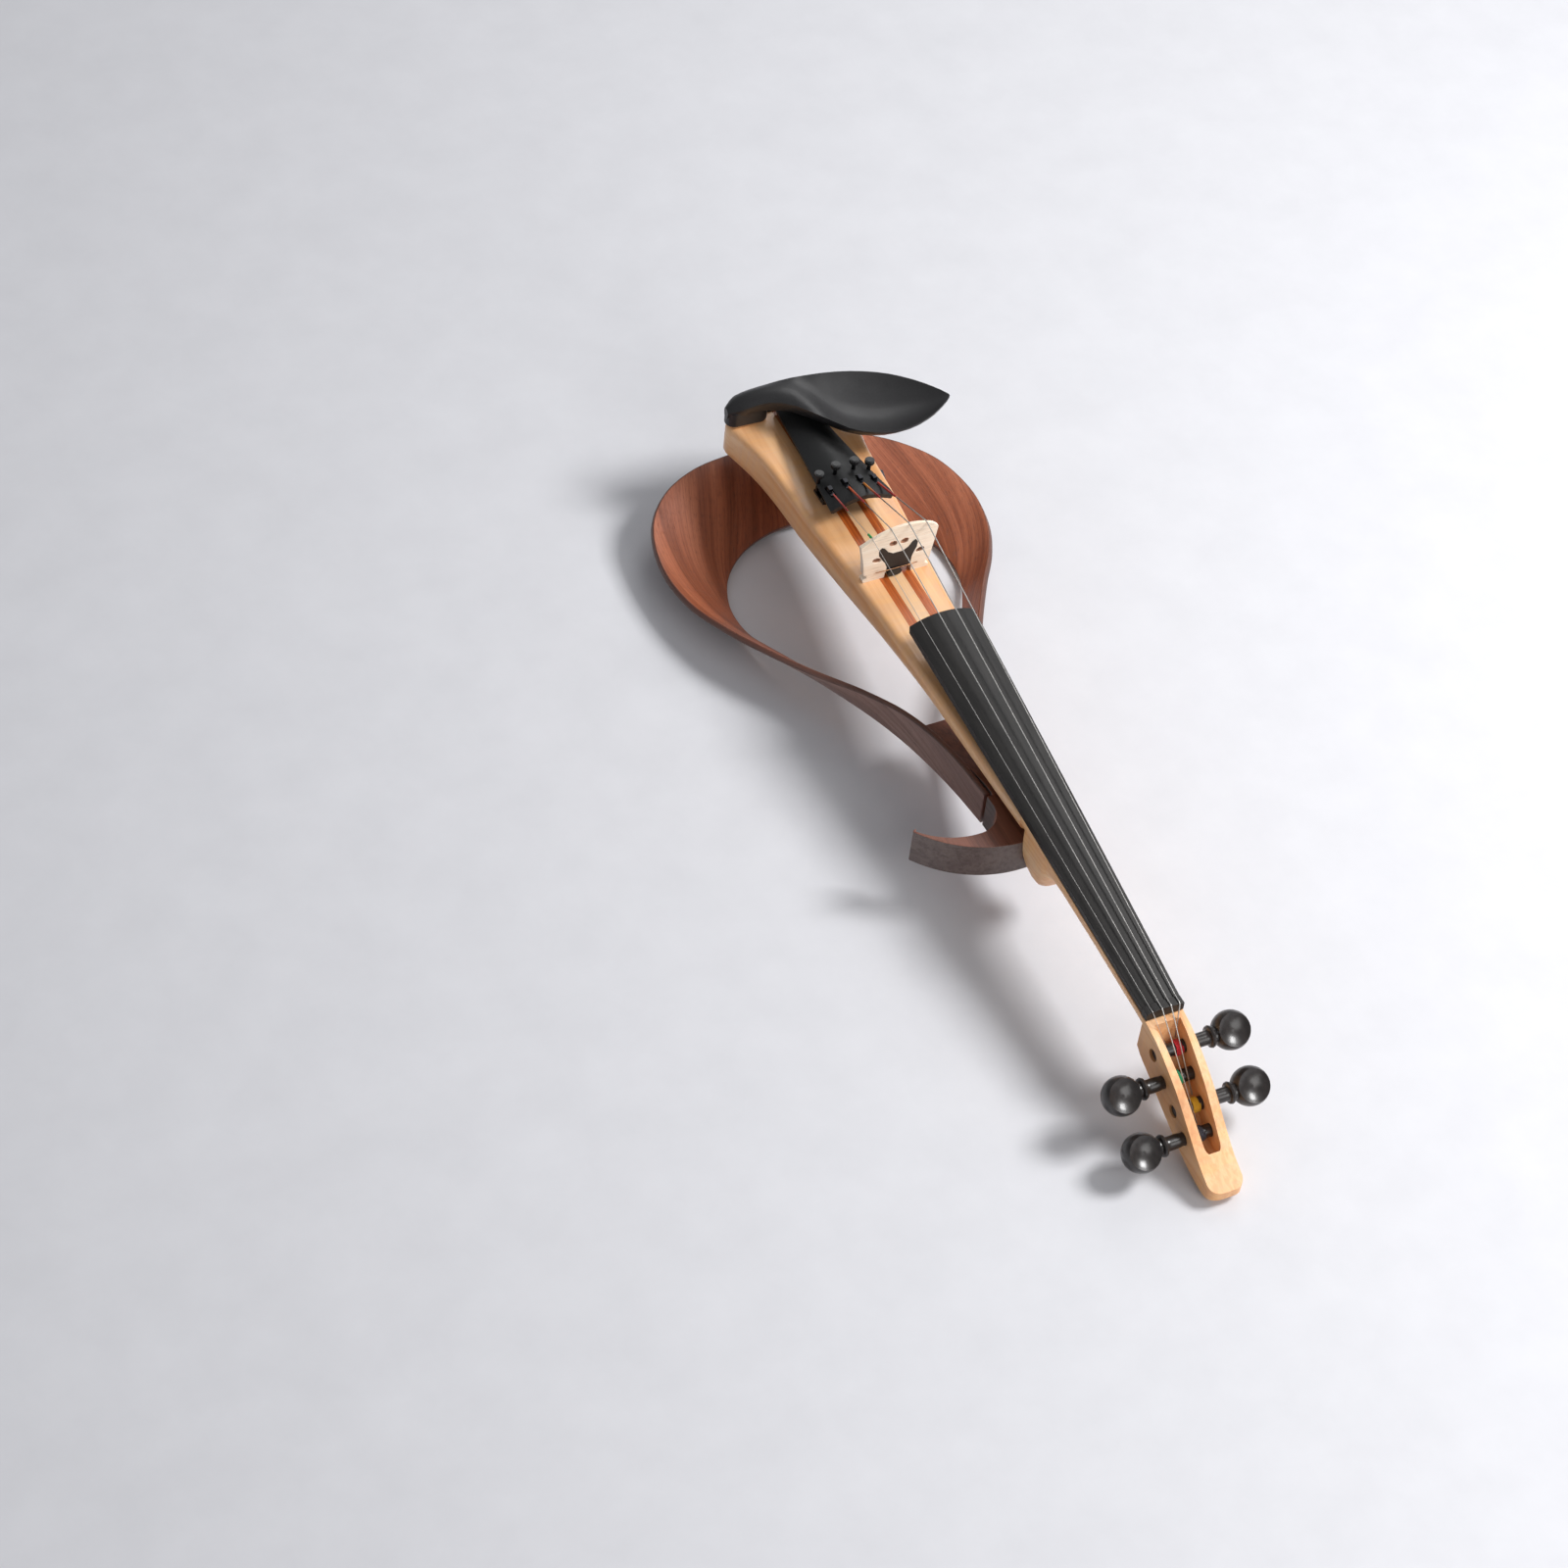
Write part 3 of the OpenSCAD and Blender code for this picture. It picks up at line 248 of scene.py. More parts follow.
def ribbon_material():
    """Walnut veneer with its grain along V, its outer face in a painted-shade colour and its rims darkened
    by painted shade; attribute inner is 1 on the inner face, rim 1 on the edges.
    """
    m = Mat("walnut_ribbon", rough=0.46, coat=0.12, coat_rough=0.3)
    inner = m.node("ShaderNodeAttribute", attribute_name="inner").outputs["Fac"]
    rim = m.node("ShaderNodeAttribute", attribute_name="rim").outputs["Fac"]
    tone = m.noise(m.coords((75, 3, 1), "UV"), detail=4, rough=0.5, distort=0.8)
    # Outer face in a painted-shade copy of the walnut, inner face in its own colour
    colour = m.mix(inner, m.ramp(tone, RIBBON_STOPS, WALNUT_OUT_SHADED), m.ramp(tone, RIBBON_STOPS, WALNUT_IN))
    streak = m.noise(m.coords((30, 5, 1), "UV", (1, 4, 0)), detail=5, rough=0.6, distort=1.5)
    colour = m.mix(m.remap(streak, 0.48, 0.72, 0, 0.5), colour, RIBBON_STREAK, "MULTIPLY")
    lines = m.noise(m.coords((620, 14, 1), "UV", (3, 1, 0)), detail=3, rough=0.6, distort=0.4)
    colour = m.mix(m.remap(lines, 0.44, 0.62, 0, 0.4), colour, RIBBON_LINE, "MULTIPLY")
    dots = m.noise(m.coords((2600, 190, 1), "UV", (5, 2, 0)), detail=1, rough=0.5)
    colour = m.mix(m.remap(dots, 0.6, 0.7, 0, 0.55), colour, RIBBON_PORE)
    # Painted shade darkens the rims
    m.colour(m.mix(m.math("MULTIPLY", rim, 0.6), colour, RIBBON_RIM_SHADE))
    m.bump(m.remap(dots, 0.58, 0.72, 1, 0), 0.0001, 0.6)
    m.bump(lines, GRAIN_DEPTH, 0.35)
    m.roughness(m.remap(tone, 0.3, 0.7, 0.4, 0.54))


SATIN = {"lines": 0.16, "figure": 0.35, "rough": 0.36}
STRIPE = {"lines": 0.5, "pores": 0.5, "rough": 0.38}
wood("maple_treble", MAPLE, seed=1.7, **SATIN)
wood("maple_bass", MAPLE, seed=5.1, **SATIN)
wood("maple_centre", MAPLE_PALE, seed=9.3, lines=0.18, figure=0.35, rough=0.36)
wood("mahogany_treble", MAHOGANY, seed=2.9, **STRIPE)
wood("mahogany_bass", MAHOGANY, seed=7.7, **STRIPE)
wood("maple_neck", MAPLE, seed=12.1, lines=0.3, figure=0.4, rough=0.48, coat=0.08)
wood("maple_block", MAPLE, seed=15.3, lines=0.3, rough=0.5, coat=0.0)
wood("bridge", BRIDGE_MAPLE, seed=3.3, lines=0.2, line_cells=900, pores=0.35, rough=0.55, coat=0.0, along=0)
# Painted shade and darker end grain for the walls inside the bridge's eyes
wood("eye_grain_shade", EYE_GRAIN_SHADE, seed=6.6, lines=0.4, rough=0.6, coat=0.0)
hook_material()
ribbon_material()


# ---- black parts, metal, silk and the rest -----------------------------------------------
STREAK_CELLS = (380, 9, 380)
WEAR_CELLS = (45, 45, 45)


def black(name, base, rough, coat=0.0, grain=1500.0, depth=0.00002, streak=False):
    """Composite, rubber or ebony: a fine surface of grain cells per metre, or streaks along Y."""
    m = Mat(name, rough=rough, coat=coat, coat_rough=0.12)
    cells = STREAK_CELLS if streak else (grain, grain, grain)
    fine = m.noise(m.coords(cells), detail=3, rough=0.6)
    m.colour(m.ramp(fine, (0.35, 0.75), (base, scaled(base, 1.9, 0.006))))
    wear = m.noise(m.coords(WEAR_CELLS), detail=4, rough=0.6)
    m.roughness(m.remap(wear, 0.3, 0.7, rough - 0.05, rough + 0.07))
    m.bump(fine, depth, 0.5)


def metal(name, base, rough, brush=(900, 900, 60)):
    """Brushed metal; brush gives the cells per metre along each axis."""
    m = Mat(name, rough=rough, metallic=1.0)
    fine = m.noise(m.coords(brush), detail=3, rough=0.6)
    m.colour(m.ramp(fine, (0.3, 0.7), (scaled(base, 0.82), base)))
    m.roughness(m.remap(fine, 0.3, 0.7, rough - 0.04, rough + 0.08))
    m.bump(fine, 0.00001, 0.3)


def silk(name, first, second=None):
    """Thread wound in fine turns along V, with painted shade between the turns, its colour fading to second
    between SILK_FADE.
    """
    m = Mat(name, rough=0.55, sheen=0.1)
    turns = m.node("ShaderNodeTexWave", {"Vector": m.coords((0, SILK_TURNS, 0), "UV"), "Scale": 1.0,
                                         "Distortion": 0.6, "Detail": 1.0, "Detail Scale": 1.0},
                   bands_direction="Y", wave_profile="SIN").outputs["Fac"]
    # Painted shade in the grooves between the turns
    colour = m.mix(turns, scaled(first, 0.55), first)
    if second:
        along = m.axis(m.node("ShaderNodeTexCoord").outputs["UV"], "Y")
        colour = m.mix(m.remap(along, *SILK_FADE, 0, 1), colour, second)
    m.colour(colour)
    m.bump(turns, 0.00004, 0.8)


def cells_material(name, rough, cells, feature, stops, colours):
    """Cellular surface, such as cork; also gives the distance inside a cell, for a bump."""
    m = Mat(name, rough=rough)
    n = m.node("ShaderNodeTexVoronoi", {"Vector": m.coords((cells, cells, cells))}, feature=feature)
    m.colour(m.ramp(n.outputs["Distance"], stops, colours))
    return m, n.outputs["Distance"]


black("board", srgb(18, 15, 13), 0.52, streak=True)
black("peg", srgb(28, 23, 21), 0.3, coat=0.15, streak=True)
black("plastic", srgb(18, 18, 19), 0.36, grain=2600)
black("chinrest", srgb(22, 21, 22), 0.42, coat=0.08, grain=2200)
black("tail", srgb(8, 8, 8), 0.46, grain=2400, depth=0.00003)
black("pickup", srgb(20, 20, 20), 0.5, grain=1800, depth=0.00004)
black("rubber", srgb(18, 18, 18), 0.62, grain=1200, depth=0.00005)
black("sleeve", srgb(30, 128, 62), 0.35)
metal("steel", srgb(208, 205, 201), 0.38, brush=(2000, 60, 2000))
metal("nickel", srgb(214, 211, 205), 0.2)
metal("black_steel", srgb(52, 52, 55), 0.3)
metal("copper", srgb(202, 150, 110), 0.3, brush=(60, 2000, 2000))
cork, cork_cells = cells_material("cork", 0.85, 900, "F1", (0.0, 0.35, 0.9),
                                  (srgb(110, 72, 42), srgb(176, 128, 84), srgb(196, 150, 104)))
cork.bump(cork_cells, 0.0001, 0.5)
cells_material("board_green", 0.4, 700, "DISTANCE_TO_EDGE", (0.02, 0.1),
               (srgb(60, 120, 70), srgb(20, 74, 44)))

# Turns of thread in a metre, and where the tail silk fades from its first colour to red
SILK_TURNS = 2600
SILK_FADE = (0.006, 0.016)
SILK_RED = srgb(150, 18, 16)
PEG_SILK = {
    "g": srgb(226, 30, 50),
    "d": srgb(232, 178, 24),
    "a": srgb(40, 40, 54),
    "e": srgb(30, 158, 108),
}
TAIL_SILK = {
    "g": srgb(214, 56, 22),
    "d": srgb(232, 140, 34),
    "a": srgb(224, 92, 24),
    "e": srgb(214, 84, 70),
}
for k in STRINGS:
    silk("silk_" + k, PEG_SILK[k])
    silk("tail_silk_" + k, TAIL_SILK[k], SILK_RED)


# ---- mesh tools --------------------------------------------------------------------
def body_of(node):
    """The body in the record that moves a node."""
    for name, members in frame["record"]["behaviour"]["bodies"].items():
        if node in members:
            return name
    return ROOT


def add(name, mesh, mat, body, replaces=()):
    """Put a piece in the scene, riding on a body and standing for the CAD nodes in replaces."""
    obj = bpy.data.objects.new(name, mesh)
    scene.collection.objects.link(obj)
    mesh.materials.append(mats[mat].mat)
    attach(obj, body)
    if replaces:
        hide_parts(*replaces)
    return obj


def sleeve_faces(rings, around):
    """Faces of a capped sleeve through rings of points, with around points in each."""
    faces = []
    for i in range(rings - 1):
        for j in range(around):
            k = (j + 1) % around
            faces.append((i * around + j, i * around + k, (i + 1) * around + k, (i + 1) * around + j))
    faces.append(tuple(reversed(range(around))))
    faces.append(tuple(range((rings - 1) * around, rings * around)))
    return faces


def tube(name, path, radii, mat, body, replaces=(), sides=16):
    """A round cord along a path with one radius a point; U runs round it and V along it in metres."""
    points = [Vector(p) for p in path]
    last = len(points) - 1
    verts, lengths = [], []
    side = None
    length = 0.0
    for i, p in enumerate(points):
        if i:
            length += (p - points[i - 1]).length
        lengths.append(length)
        ahead = (points[min(i + 1, last)] - points[max(i - 1, 0)]).normalized()
        if side is None:
            side = ahead.orthogonal().normalized()
        side = (side - ahead * side.dot(ahead)).normalized()
        up = ahead.cross(side)
        for j in range(sides):
            a = 2 * math.pi * j / sides
            verts.append(p + (side * math.cos(a) + up * math.sin(a)) * radii[i])
    uvs = [[(u / sides, v) for u, v in ((j, lengths[i]), (j + 1, lengths[i]), (j + 1, lengths[i + 1]),
                                        (j, lengths[i + 1]))]
           for i in range(last) for j in range(sides)]
    uvs += [[(0, 0)] * sides, [(0, length)] * sides]
    mesh = bpy.data.meshes.new(name)
    mesh.from_pydata(verts, [], sleeve_faces(last + 1, sides))
    layer = mesh.uv_layers.new(name="UVMap")
    for poly, corners in zip(mesh.polygons, uvs):
        for loop, uv in zip(poly.loop_indices, corners):
            layer.data[loop].uv = uv
        poly.use_smooth = len(corners) == 4
    return add(name, mesh, mat, body, replaces)


def spline(points, steps):
    """Catmull-Rom curve through points, steps to each span."""
    pts = [Vector(p) for p in points]
    out = []
    for i in range(len(pts) - 1):
        a = pts[i - 1] if i else pts[0] * 2 - pts[1]
        b, c = pts[i], pts[i + 1]
        d = pts[i + 2] if i + 2 < len(pts) else pts[-1] * 2 - pts[-2]
        linear, square, cube = c - a, a * 2 - b * 5 + c * 4 - d, b * 3 - a - c * 3 + d
        for k in range(steps):
            u = k / steps
            out.append((b * 2 + linear * u + square * u * u + cube * u ** 3) / 2)
    out.append(pts[-1])
    return out


# ---- CAD nodes and their finishes --------------------------------------------------------
# Vertices closer than WELD are joined, faces within FLAT degrees are merged, edges under SHARP are smooth
WELD = 0.000002
FLAT = 0.4
SHARP = 32
BEVEL_SEGMENTS = 2
# Node, material, and width of its rounded edges
FINISHES = [
    ("body_treble_side", "maple_treble", 0),
    ("body_bass_side", "maple_bass", 0),
    ("body_centre", "maple_centre", 0),
    ("body_stripe_treble", "mahogany_treble", 0),
    ("body_stripe_bass", "mahogany_bass", 0),
    ("tail_block", "maple_block", 0.0008),
    ("frame_hook", "walnut_hook", 0.0009),
    ("frame_screws", "black_steel", 0.0002),
    ("neck", "maple_neck", 0),
    ("pegbox", "maple_neck", 0.0008),
    ("fingerboard", "board", 0.0003),
    ("nut", "board", 0.0003),
    ("bridge", "bridge", 0.00025),
    ("bridge_pickup", "pickup", 0.0003),
    ("pickup_lead", "rubber", 0),
    ("pickup_grommet", "rubber", 0),
    ("tailpiece", "tail", 0.0004),
    ("tail_gut", "rubber", 0),
    ("tail_saddle", "board", 0.0003),
    ("end_button", "peg", 0.0002),
    ("e_string_sleeve", "sleeve", 0.0001),
    ("chinrest", "chinrest", 0),
    ("chinrest_corks", "cork", 0.0002),
    ("chinrest_bracket", "nickel", 0.0004),
    ("chinrest_studs", "nickel", 0),
    ("clamp_barrel_inner", "nickel", 0.0002),
    ("clamp_barrel_outer", "nickel", 0.0002),
    ("control_cover", "plastic", 0.0003),
    ("cover_screws", "black_steel", 0.0001),
    ("preamp_board", "board_green", 0.0001),
    ("volume_pot", "nickel", 0.0002),
    ("volume_knob", "plastic", 0.0003),
    ("output_jack", "black_steel", 0.0002),
    ("jack_nut", "black_steel", 0.0002),
]
for k in STRINGS:
    FINISHES += [
        ("peg_" + k, "peg", 0),
        ("tuner_knob_" + k, "plastic", 0.0001),
        ("tuner_screw_" + k, "black_steel", 0.0001),
        ("tuner_lever_" + k, "black_steel", 0.0002),
    ]


def refined(node, mat, bevel):
    """The CAD node's own shape with joined vertices, smooth curved faces and small rounded edges."""
    bm = bmesh.new()
    bm.from_mesh(frame["nodes"][node].data)
    bmesh.ops.remove_doubles(bm, verts=bm.verts, dist=WELD)
    bmesh.ops.dissolve_limit(bm, angle_limit=math.radians(FLAT), verts=bm.verts, edges=bm.edges)
    for edge in bm.edges:
        edge.smooth = len(edge.link_faces) == 2 and edge.calc_face_angle(0) < math.radians(SHARP)
    for face in bm.faces:
        face.smooth = True
    mesh = bpy.data.meshes.new(node + "_fine")
    bm.to_mesh(mesh)
    bm.free()
    obj = add(node + "_fine", mesh, mat, body_of(node), [node])
    if bevel:
        mod = obj.modifiers.new("edges", "BEVEL")
        mod.width = bevel
        mod.segments = BEVEL_SEGMENTS
        mod.limit_method = "ANGLE"
        mod.angle_limit = math.radians(SHARP)
        mod.harden_normals = True


for node, mat, bevel in FINISHES:
    refined(node, mat, bevel)


# ---- ribbon frame ------------------------------------------------------------------------
# Upper and lower edge of each ribbon in millimetres, from the tail to the heel, as in the CAD source
UPPER_TREBLE = [
    (0, -160, -42), (28, -159, -42.3), (56, -153.5, -41.5), (79.5, -142, -44), (96, -121, -47),
    (102.8, -91, -49.5), (100.5, -58, -47.5), (91, -28, -42.5), (77.3, -1, -39), (59, 26, -37),
    (40, 53, -33), (28, 84, -25), (21, 120, -18.7), (16.8, 160.2, -16.6)]
LOWER_TREBLE = [
    (0, -109, -62), (24, -108, -64), (45, -100, -66), (61, -85, -67.5), (69, -67, -68),
    (71, -50, -67), (69.5, -34, -64.5), (65, -19, -60.5), (56, 2, -57), (45, 30, -53),
    (35, 60, -49), (26, 91, -46.5), (20, 128, -42.5), (16.8, 160.4, -40)]
UPPER_BASS = [
    (0, -160, -42), (-28, -158, -43), (-54, -151, -45), (-75.5, -138, -47), (-94, -118, -50),
    (-103, -90, -53), (-100, -62, -53), (-89.5, -38, -52), (-74, -15, -49.5), (-56, 14, -46),
    (-38, 46, -41), (-21, 85, -32), (-10, 120, -24.5), (-4, 152, -19)]
LOWER_BASS = [(-x, y, z) for x, y, z in LOWER_TREBLE[:6]] + [
    (-70, -36, -67), (-66, -24, -66), (-57, -6, -64), (-44, 20, -60), (-29, 52, -56),
    (-15, 88, -51), (-7.5, 124, -45.5), (-4, 158, -40)]
# Thickness and edge radius of the band in millimetres
RIBBON_T = 3.6
RIBBON_EDGE = 0.9
# Steps between two points of a curve, across a face of the band and round one of its edges
RIBBON_STEPS = 24
RIBBON_ACROSS = 8
RIM_STEPS = 4
# How far the grain leans out of the length of the body, and how far the outer face's pattern is moved
GRAIN_LEAN = 0.22
OUTER_SHIFT = 0.3


def ribbon_profile(width):
    """Closed outline of the band's section: (distance across, height above the middle, on the rim)."""
    half, e = RIBBON_T / 2, RIBBON_EDGE
    quarter = [math.radians(90 * i / RIM_STEPS) for i in range(RIM_STEPS + 1)]
    run = [e + (width - 2 * e) * i / RIBBON_ACROSS for i in range(RIBBON_ACROSS + 1)]
    out = [(w, half, 0) for w in run]
    out += [(width - e + e * math.sin(a), half - e + e * math.cos(a), 1) for a in quarter[1:]]
    out += [(width - e + e * math.cos(a), e - half - e * math.sin(a), 1) for a in quarter[:-1]]
    out += [(w, -half, 0) for w in reversed(run)]
    out += [(e - e * math.sin(a), e - half - e * math.cos(a), 1) for a in quarter[1:]]
    out += [(e - e * math.cos(a), half - e + e * math.sin(a), 1) for a in quarter[:-1]]
    return out


def ribbon_points(upper, lower, side):
    """Places, inner and rim values and UV of the band's points ring by ring, and the points in a ring."""
    ups, lows = spline(upper, RIBBON_STEPS), spline(lower, RIBBON_STEPS)
    lean = Vector((side * GRAIN_LEAN, 1, 0))
    drift = travelled = 0.0
    rows = []
    for i in range(1, len(ups) - 1):
        up, low = ups[i], lows[i]
        across = (low - up).normalized()
        ahead = ups[i + 1] + lows[i + 1] - ups[i - 1] - lows[i - 1]
        normal = ahead.cross(across).normalized() * side
        # The sheet's grain stays straight while the band bends, so it crosses the band where the band turns
        step = (up + low - ups[i - 1] - lows[i - 1]) / 2
        grain = (lean - normal * lean.dot(normal)).normalized()
        ahead.normalize()
        drift += step.length * grain.dot(across)
        travelled += step.length * grain.dot(ahead)
        width = (low - up).length
        profile = ribbon_profile(width)
        for w, h, edge in profile:
            from_middle = w - width / 2
            u = (from_middle * grain.dot(ahead) - drift) / 1000 + (OUTER_SHIFT if h < 0 else 0) + side
            v = (from_middle * grain.dot(across) + travelled) / 1000
            rows.append((mm(*(up + across * w + normal * h)), 0.5 + h / RIBBON_T, edge, (u, v)))
    return rows, len(profile)


def ribbon(node, upper, lower, side):
    """The band between two edge curves on one side of the body, with its grain running along it."""
    rows, around = ribbon_points(upper, lower, side)
    verts, inner, rim, uv_at = zip(*rows)
    faces = sleeve_faces(len(verts) // around, around)
    if side > 0:
        faces = [tuple(reversed(f)) for f in faces]
    mesh = bpy.data.meshes.new(node + "_fine")
    mesh.from_pydata(verts, [], faces)
    layer = mesh.uv_layers.new(name="UVMap")
    for loop in mesh.loops:
        layer.data[loop.index].uv = uv_at[loop.vertex_index]
    for name, values in (("inner", inner), ("rim", rim)):
        mesh.attributes.new(name, "FLOAT", "POINT").data.foreach_set("value", values)
    for poly in mesh.polygons:
        poly.use_smooth = len(poly.vertices) == 4
    add(node + "_fine", mesh, "walnut_ribbon", ROOT, [node])


ribbon("frame_treble", UPPER_TREBLE, LOWER_TREBLE, 1)
ribbon("frame_bass", UPPER_BASS, LOWER_BASS, -1)


# ---- bridge details ----------------------------------------------------------------------
# Each eye's middle, half width, half height and tilt in degrees; the lining is a sleeve just inside it
EYES = {
    "upper_treble": (3.6, 25.6, 2.6, 2.08, 14),
    "upper_bass": (-3.6, 25.6, 2.6, 2.08, -14),
    "lower_treble": (13.3, 15.4, 2.9, 1.91, 14),
    "lower_bass": (-14.4, 15.2, 2.9, 1.91, -14),
}
EYE_DEPTH = 1.1
EYE_FIT = (0.97, 0.8)
EYE_SIDES = 28
# The copper wire hangs a little across the bridge's front face
WIRE = [(-13.4, 6.4), (-7, 6.1), (0, 6.0), (7, 6.1), (13.4, 6.4)]
WIRE_Y = 2.75
WIRE_R = 0.00022


def eye_lining(name, x, z, wide, high, tilt):
    """Wall of an eye: a short tube with a thick wall, darker brown for the end grain and for painted shade
    inside the hole.
    """
    cos_t, sin_t = math.cos(math.radians(tilt)), math.sin(math.radians(tilt))
    verts, faces = [], []
    for depth in (-EYE_DEPTH, EYE_DEPTH):
        for fit in EYE_FIT:
            for j in range(EYE_SIDES):
                a = 2 * math.pi * j / EYE_SIDES
                u, v = wide * fit * math.cos(a), high * fit * math.sin(a)
                verts.append(mm(x + u * cos_t - v * sin_t, depth, z + u * sin_t + v * cos_t))
    for j in range(EYE_SIDES):
        k = (j + 1) % EYE_SIDES
        for a, b in ((0, 1), (1, 3), (3, 2), (2, 0)):
            a, b = a * EYE_SIDES, b * EYE_SIDES
            faces.append((a + j, a + k, b + k, b + j))
    mesh = bpy.data.meshes.new(name)
    mesh.from_pydata(verts, [], faces)
    add(name, mesh, "eye_grain_shade", ROOT)


for name, eye in EYES.items():
    eye_lining("eye_" + name, *eye)
tube("bridge_wire", [mm(x, WIRE_Y, z) for x, z in WIRE], [WIRE_R] * len(WIRE), "copper", ROOT)


# ---- silk on the pegs --------------------------------------------------------------------
THREAD_R = 0.0004
COILS = 5.4
# Steps in one turn, and the angle in radians where the coil starts
COIL_STEPS = 30
COIL_START = 0.6


def thread_coil(k):
    """The string's silk end wound round its peg in place of the grooved collar."""
    winding = "winding_" + k
    low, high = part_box(winding)
    axis_y, axis_z = (low.y + high.y) / 2, (low.z + high.z) / 2
    radius = (high.z - low.z) / 2 - THREAD_R
    x0, x1 = low.x + THREAD_R, high.x - THREAD_R
    steps = int(COILS * COIL_STEPS)
    path = []
    for i in range(steps + 1):
        a = 2 * math.pi * COILS * i / steps + COIL_START
        x = x0 + (x1 - x0) * i / steps
        path.append((x, axis_y + radius * math.sin(a), axis_z + radius * math.cos(a)))
    tube("silk_coil_" + k, path, [THREAD_R] * len(path), "silk_" + k, body_of(winding),
         [winding], sides=10)


for k in STRINGS:
    thread_coil(k)


# ---- strings -----------------------------------------------------------------------------
STRING_R = {"g": 0.00039, "d": 0.00036, "a": 0.00032, "e": 0.00017}
# Rings of a CAD string lie further apart than this along Y
RING_GAP = 0.0015
# A bend starts this far from its corner, or at this share of the shorter leg
BEND_REACH = 0.0012
BEND_SHARE = 1 / 2.2
BEND_STEPS = 4
# Length of the silk at the tailpiece, how far it stands out from the string, and out at its end
WRAP_LENGTH = 0.0215
WRAP_STEPS = 12
WRAP_SWELL = 0.00028
WRAP_END = 0.00008


def rings_of(node):
    """Middles of the rings that a CAD string is made of, in order along Y."""
    points = sorted((v.co.copy() for v in frame["nodes"][node].data.vertices), key=lambda v: v.y)
    groups = [[points[0]]]
    for p in points[1:]:
        if p.y - groups[-1][-1].y > RING_GAP:
            groups.append([])
        groups[-1].append(p)
    return [(Vector(map(min, zip(*g))) + Vector(map(max, zip(*g)))) / 2 for g in groups]


def softened(points):
    """The path with each corner turned into a short curve."""
    out = [points[0]]
    for a, b, c in zip(points, points[1:], points[2:]):
        r = min(BEND_REACH, (b - a).length * BEND_SHARE, (c - b).length * BEND_SHARE)
        p, q = b + (a - b).normalized() * r, b + (c - b).normalized() * r
        for i in range(BEND_STEPS + 1):
            t = i / BEND_STEPS
            out.append(p * (1 - t) ** 2 + b * 2 * t * (1 - t) + q * t * t)
    out.append(points[-1])
    return out


def string_pieces(k):
    """A string along its CAD route, and the silk round its tailpiece end."""
    route = rings_of("string_" + k)
    path = softened(route)
    tube("string_%s_fine" % k, path, [STRING_R[k]] * len(path), "steel", ROOT,
         ["string_" + k], sides=12)
    ahead = (route[1] - route[0]).normalized()
    wrap = [route[0] + ahead * (WRAP_LENGTH * i / WRAP_STEPS) for i in range(WRAP_STEPS + 1)]
    radii = [STRING_R[k] + WRAP_SWELL] * WRAP_STEPS + [STRING_R[k] + WRAP_END]
    tube("tail_silk_" + k, wrap, radii, "tail_silk_" + k, ROOT, sides=14)


for k in STRINGS:
    string_pieces(k)


# ---- floor -------------------------------------------------------------------------------
FLOOR_HALF = 6.0
FLOOR_DROP = 0.0004
FLOOR_CELLS = (26, 26, 26)
FLOOR_SHADES = (srgb(208, 208, 212), srgb(213, 213, 217))


def pale_floor():
    """A wide plain floor just under the lowest plane of the part."""
    m = Mat("floor", rough=0.9)
    plaster = m.noise(m.coords(FLOOR_CELLS), detail=6, rough=0.6)
    m.colour(m.ramp(plaster, (0.3, 0.7), FLOOR_SHADES))
    m.bump(plaster, 0.0002, 0.3)
    corners = [(x * FLOOR_HALF, y * FLOOR_HALF, -FLOOR_DROP)
               for x, y in ((-1, -1), (1, -1), (1, 1), (-1, 1))]
    mesh = bpy.data.meshes.new("floor")
    mesh.from_pydata(corners, [], [(0, 1, 2, 3)])
    mesh.materials.append(m.mat)
    floor = bpy.data.objects.new("floor", mesh)
    scene.collection.objects.link(floor)


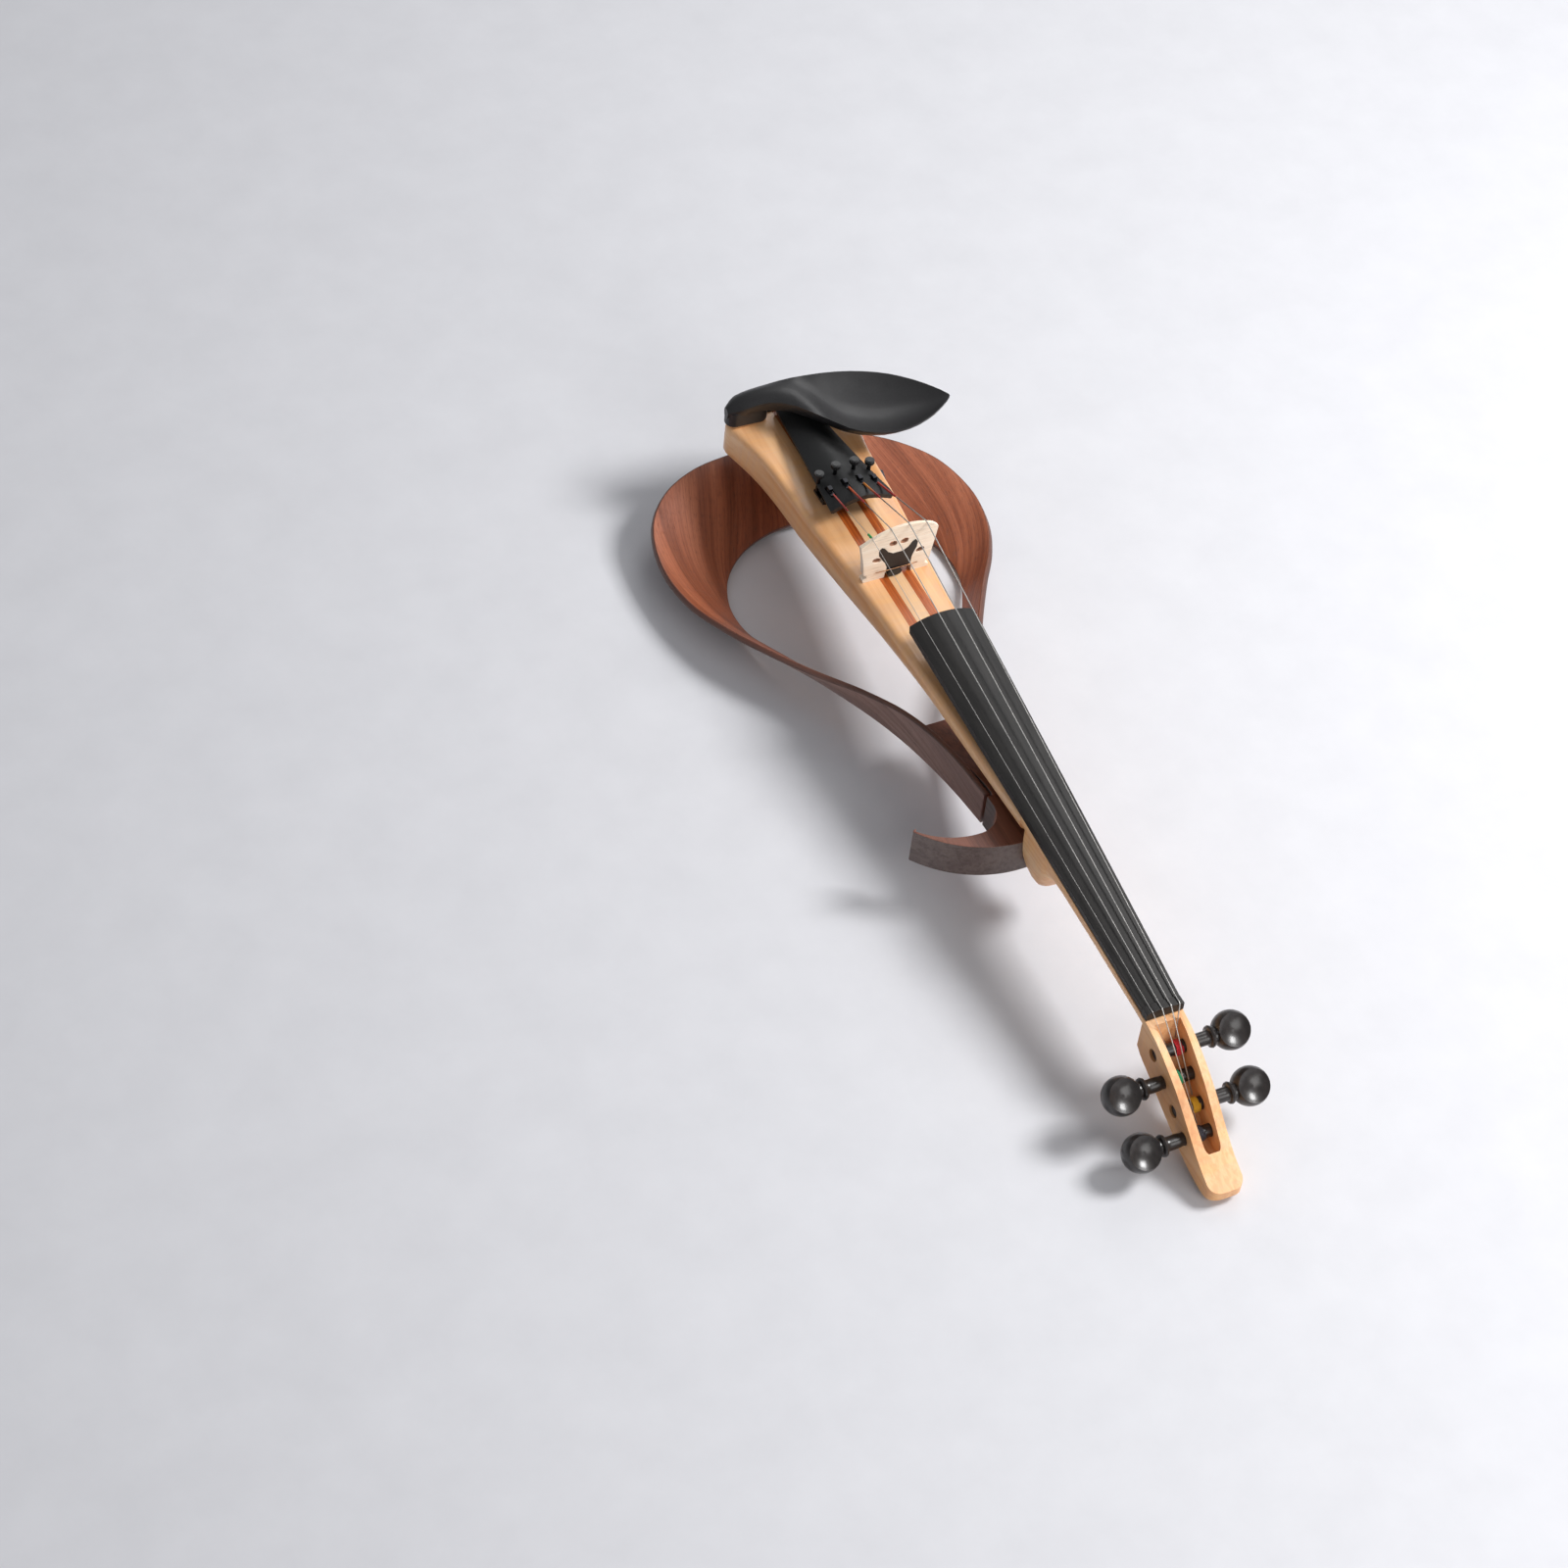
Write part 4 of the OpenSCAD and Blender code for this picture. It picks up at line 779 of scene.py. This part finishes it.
pale_floor()

# ---- camera ------------------------------------------------------------------------------
# The photograph's viewpoint and the three directions of its picture
CAMERA_AT = mm(840.136, 1350.063, 1601.891)
RIGHT = Vector((-0.90471, 0.41786, 0.08308))
DOWN = Vector((0.26536, 0.70525, -0.65742))
AHEAD = Vector((-0.33330, -0.57273, -0.74893))
LENS = 90.0
SENSOR = 36.0
camera_data = bpy.data.cameras.new("camera")
camera_data.lens = LENS
camera_data.sensor_width = SENSOR
camera = bpy.data.objects.new("camera", camera_data)
camera.matrix_world = Matrix((
    (RIGHT.x, -DOWN.x, -AHEAD.x, CAMERA_AT.x),
    (RIGHT.y, -DOWN.y, -AHEAD.y, CAMERA_AT.y),
    (RIGHT.z, -DOWN.z, -AHEAD.z, CAMERA_AT.z),
    (0, 0, 0, 1)))
scene.collection.objects.link(camera)
scene.camera = camera

# ---- light -------------------------------------------------------------------------------
LIGHT_TARGET = Vector((0, 0, 0.06))
# Name, place from the target, size, watts and colour
LIGHTS = [
    ("key", (-1.25, 0.4, 1.45), 0.6, 39, (1, 1, 1)),
    ("front", (-0.35, 1.6, 0.85), 1.0, 11, (1.0, 0.99, 0.98)),
    ("rim", (-0.9, -1.2, 1.2), 0.9, 7, (1, 1, 1)),
]
SKY = (0.86, 0.88, 0.92, 1.0)
SKY_STRENGTH = 0.34


def area_light(name, offset, size, watts, colour):
    """A soft square light turned towards the object."""
    data = bpy.data.lights.new(name, "AREA")
    data.shape = "SQUARE"
    data.size = size
    data.energy = watts
    data.color = colour
    light = bpy.data.objects.new(name, data)
    light.location = LIGHT_TARGET + Vector(offset)
    light.rotation_euler = (LIGHT_TARGET - light.location).to_track_quat("-Z", "Y").to_euler()
    scene.collection.objects.link(light)


for row in LIGHTS:
    area_light(*row)
world = bpy.data.worlds.new("studio")
scene.world = world
world.use_nodes = True
background = world.node_tree.nodes["Background"]
background.inputs["Color"].default_value = SKY
background.inputs["Strength"].default_value = SKY_STRENGTH
scene.view_settings.view_transform = "Standard"
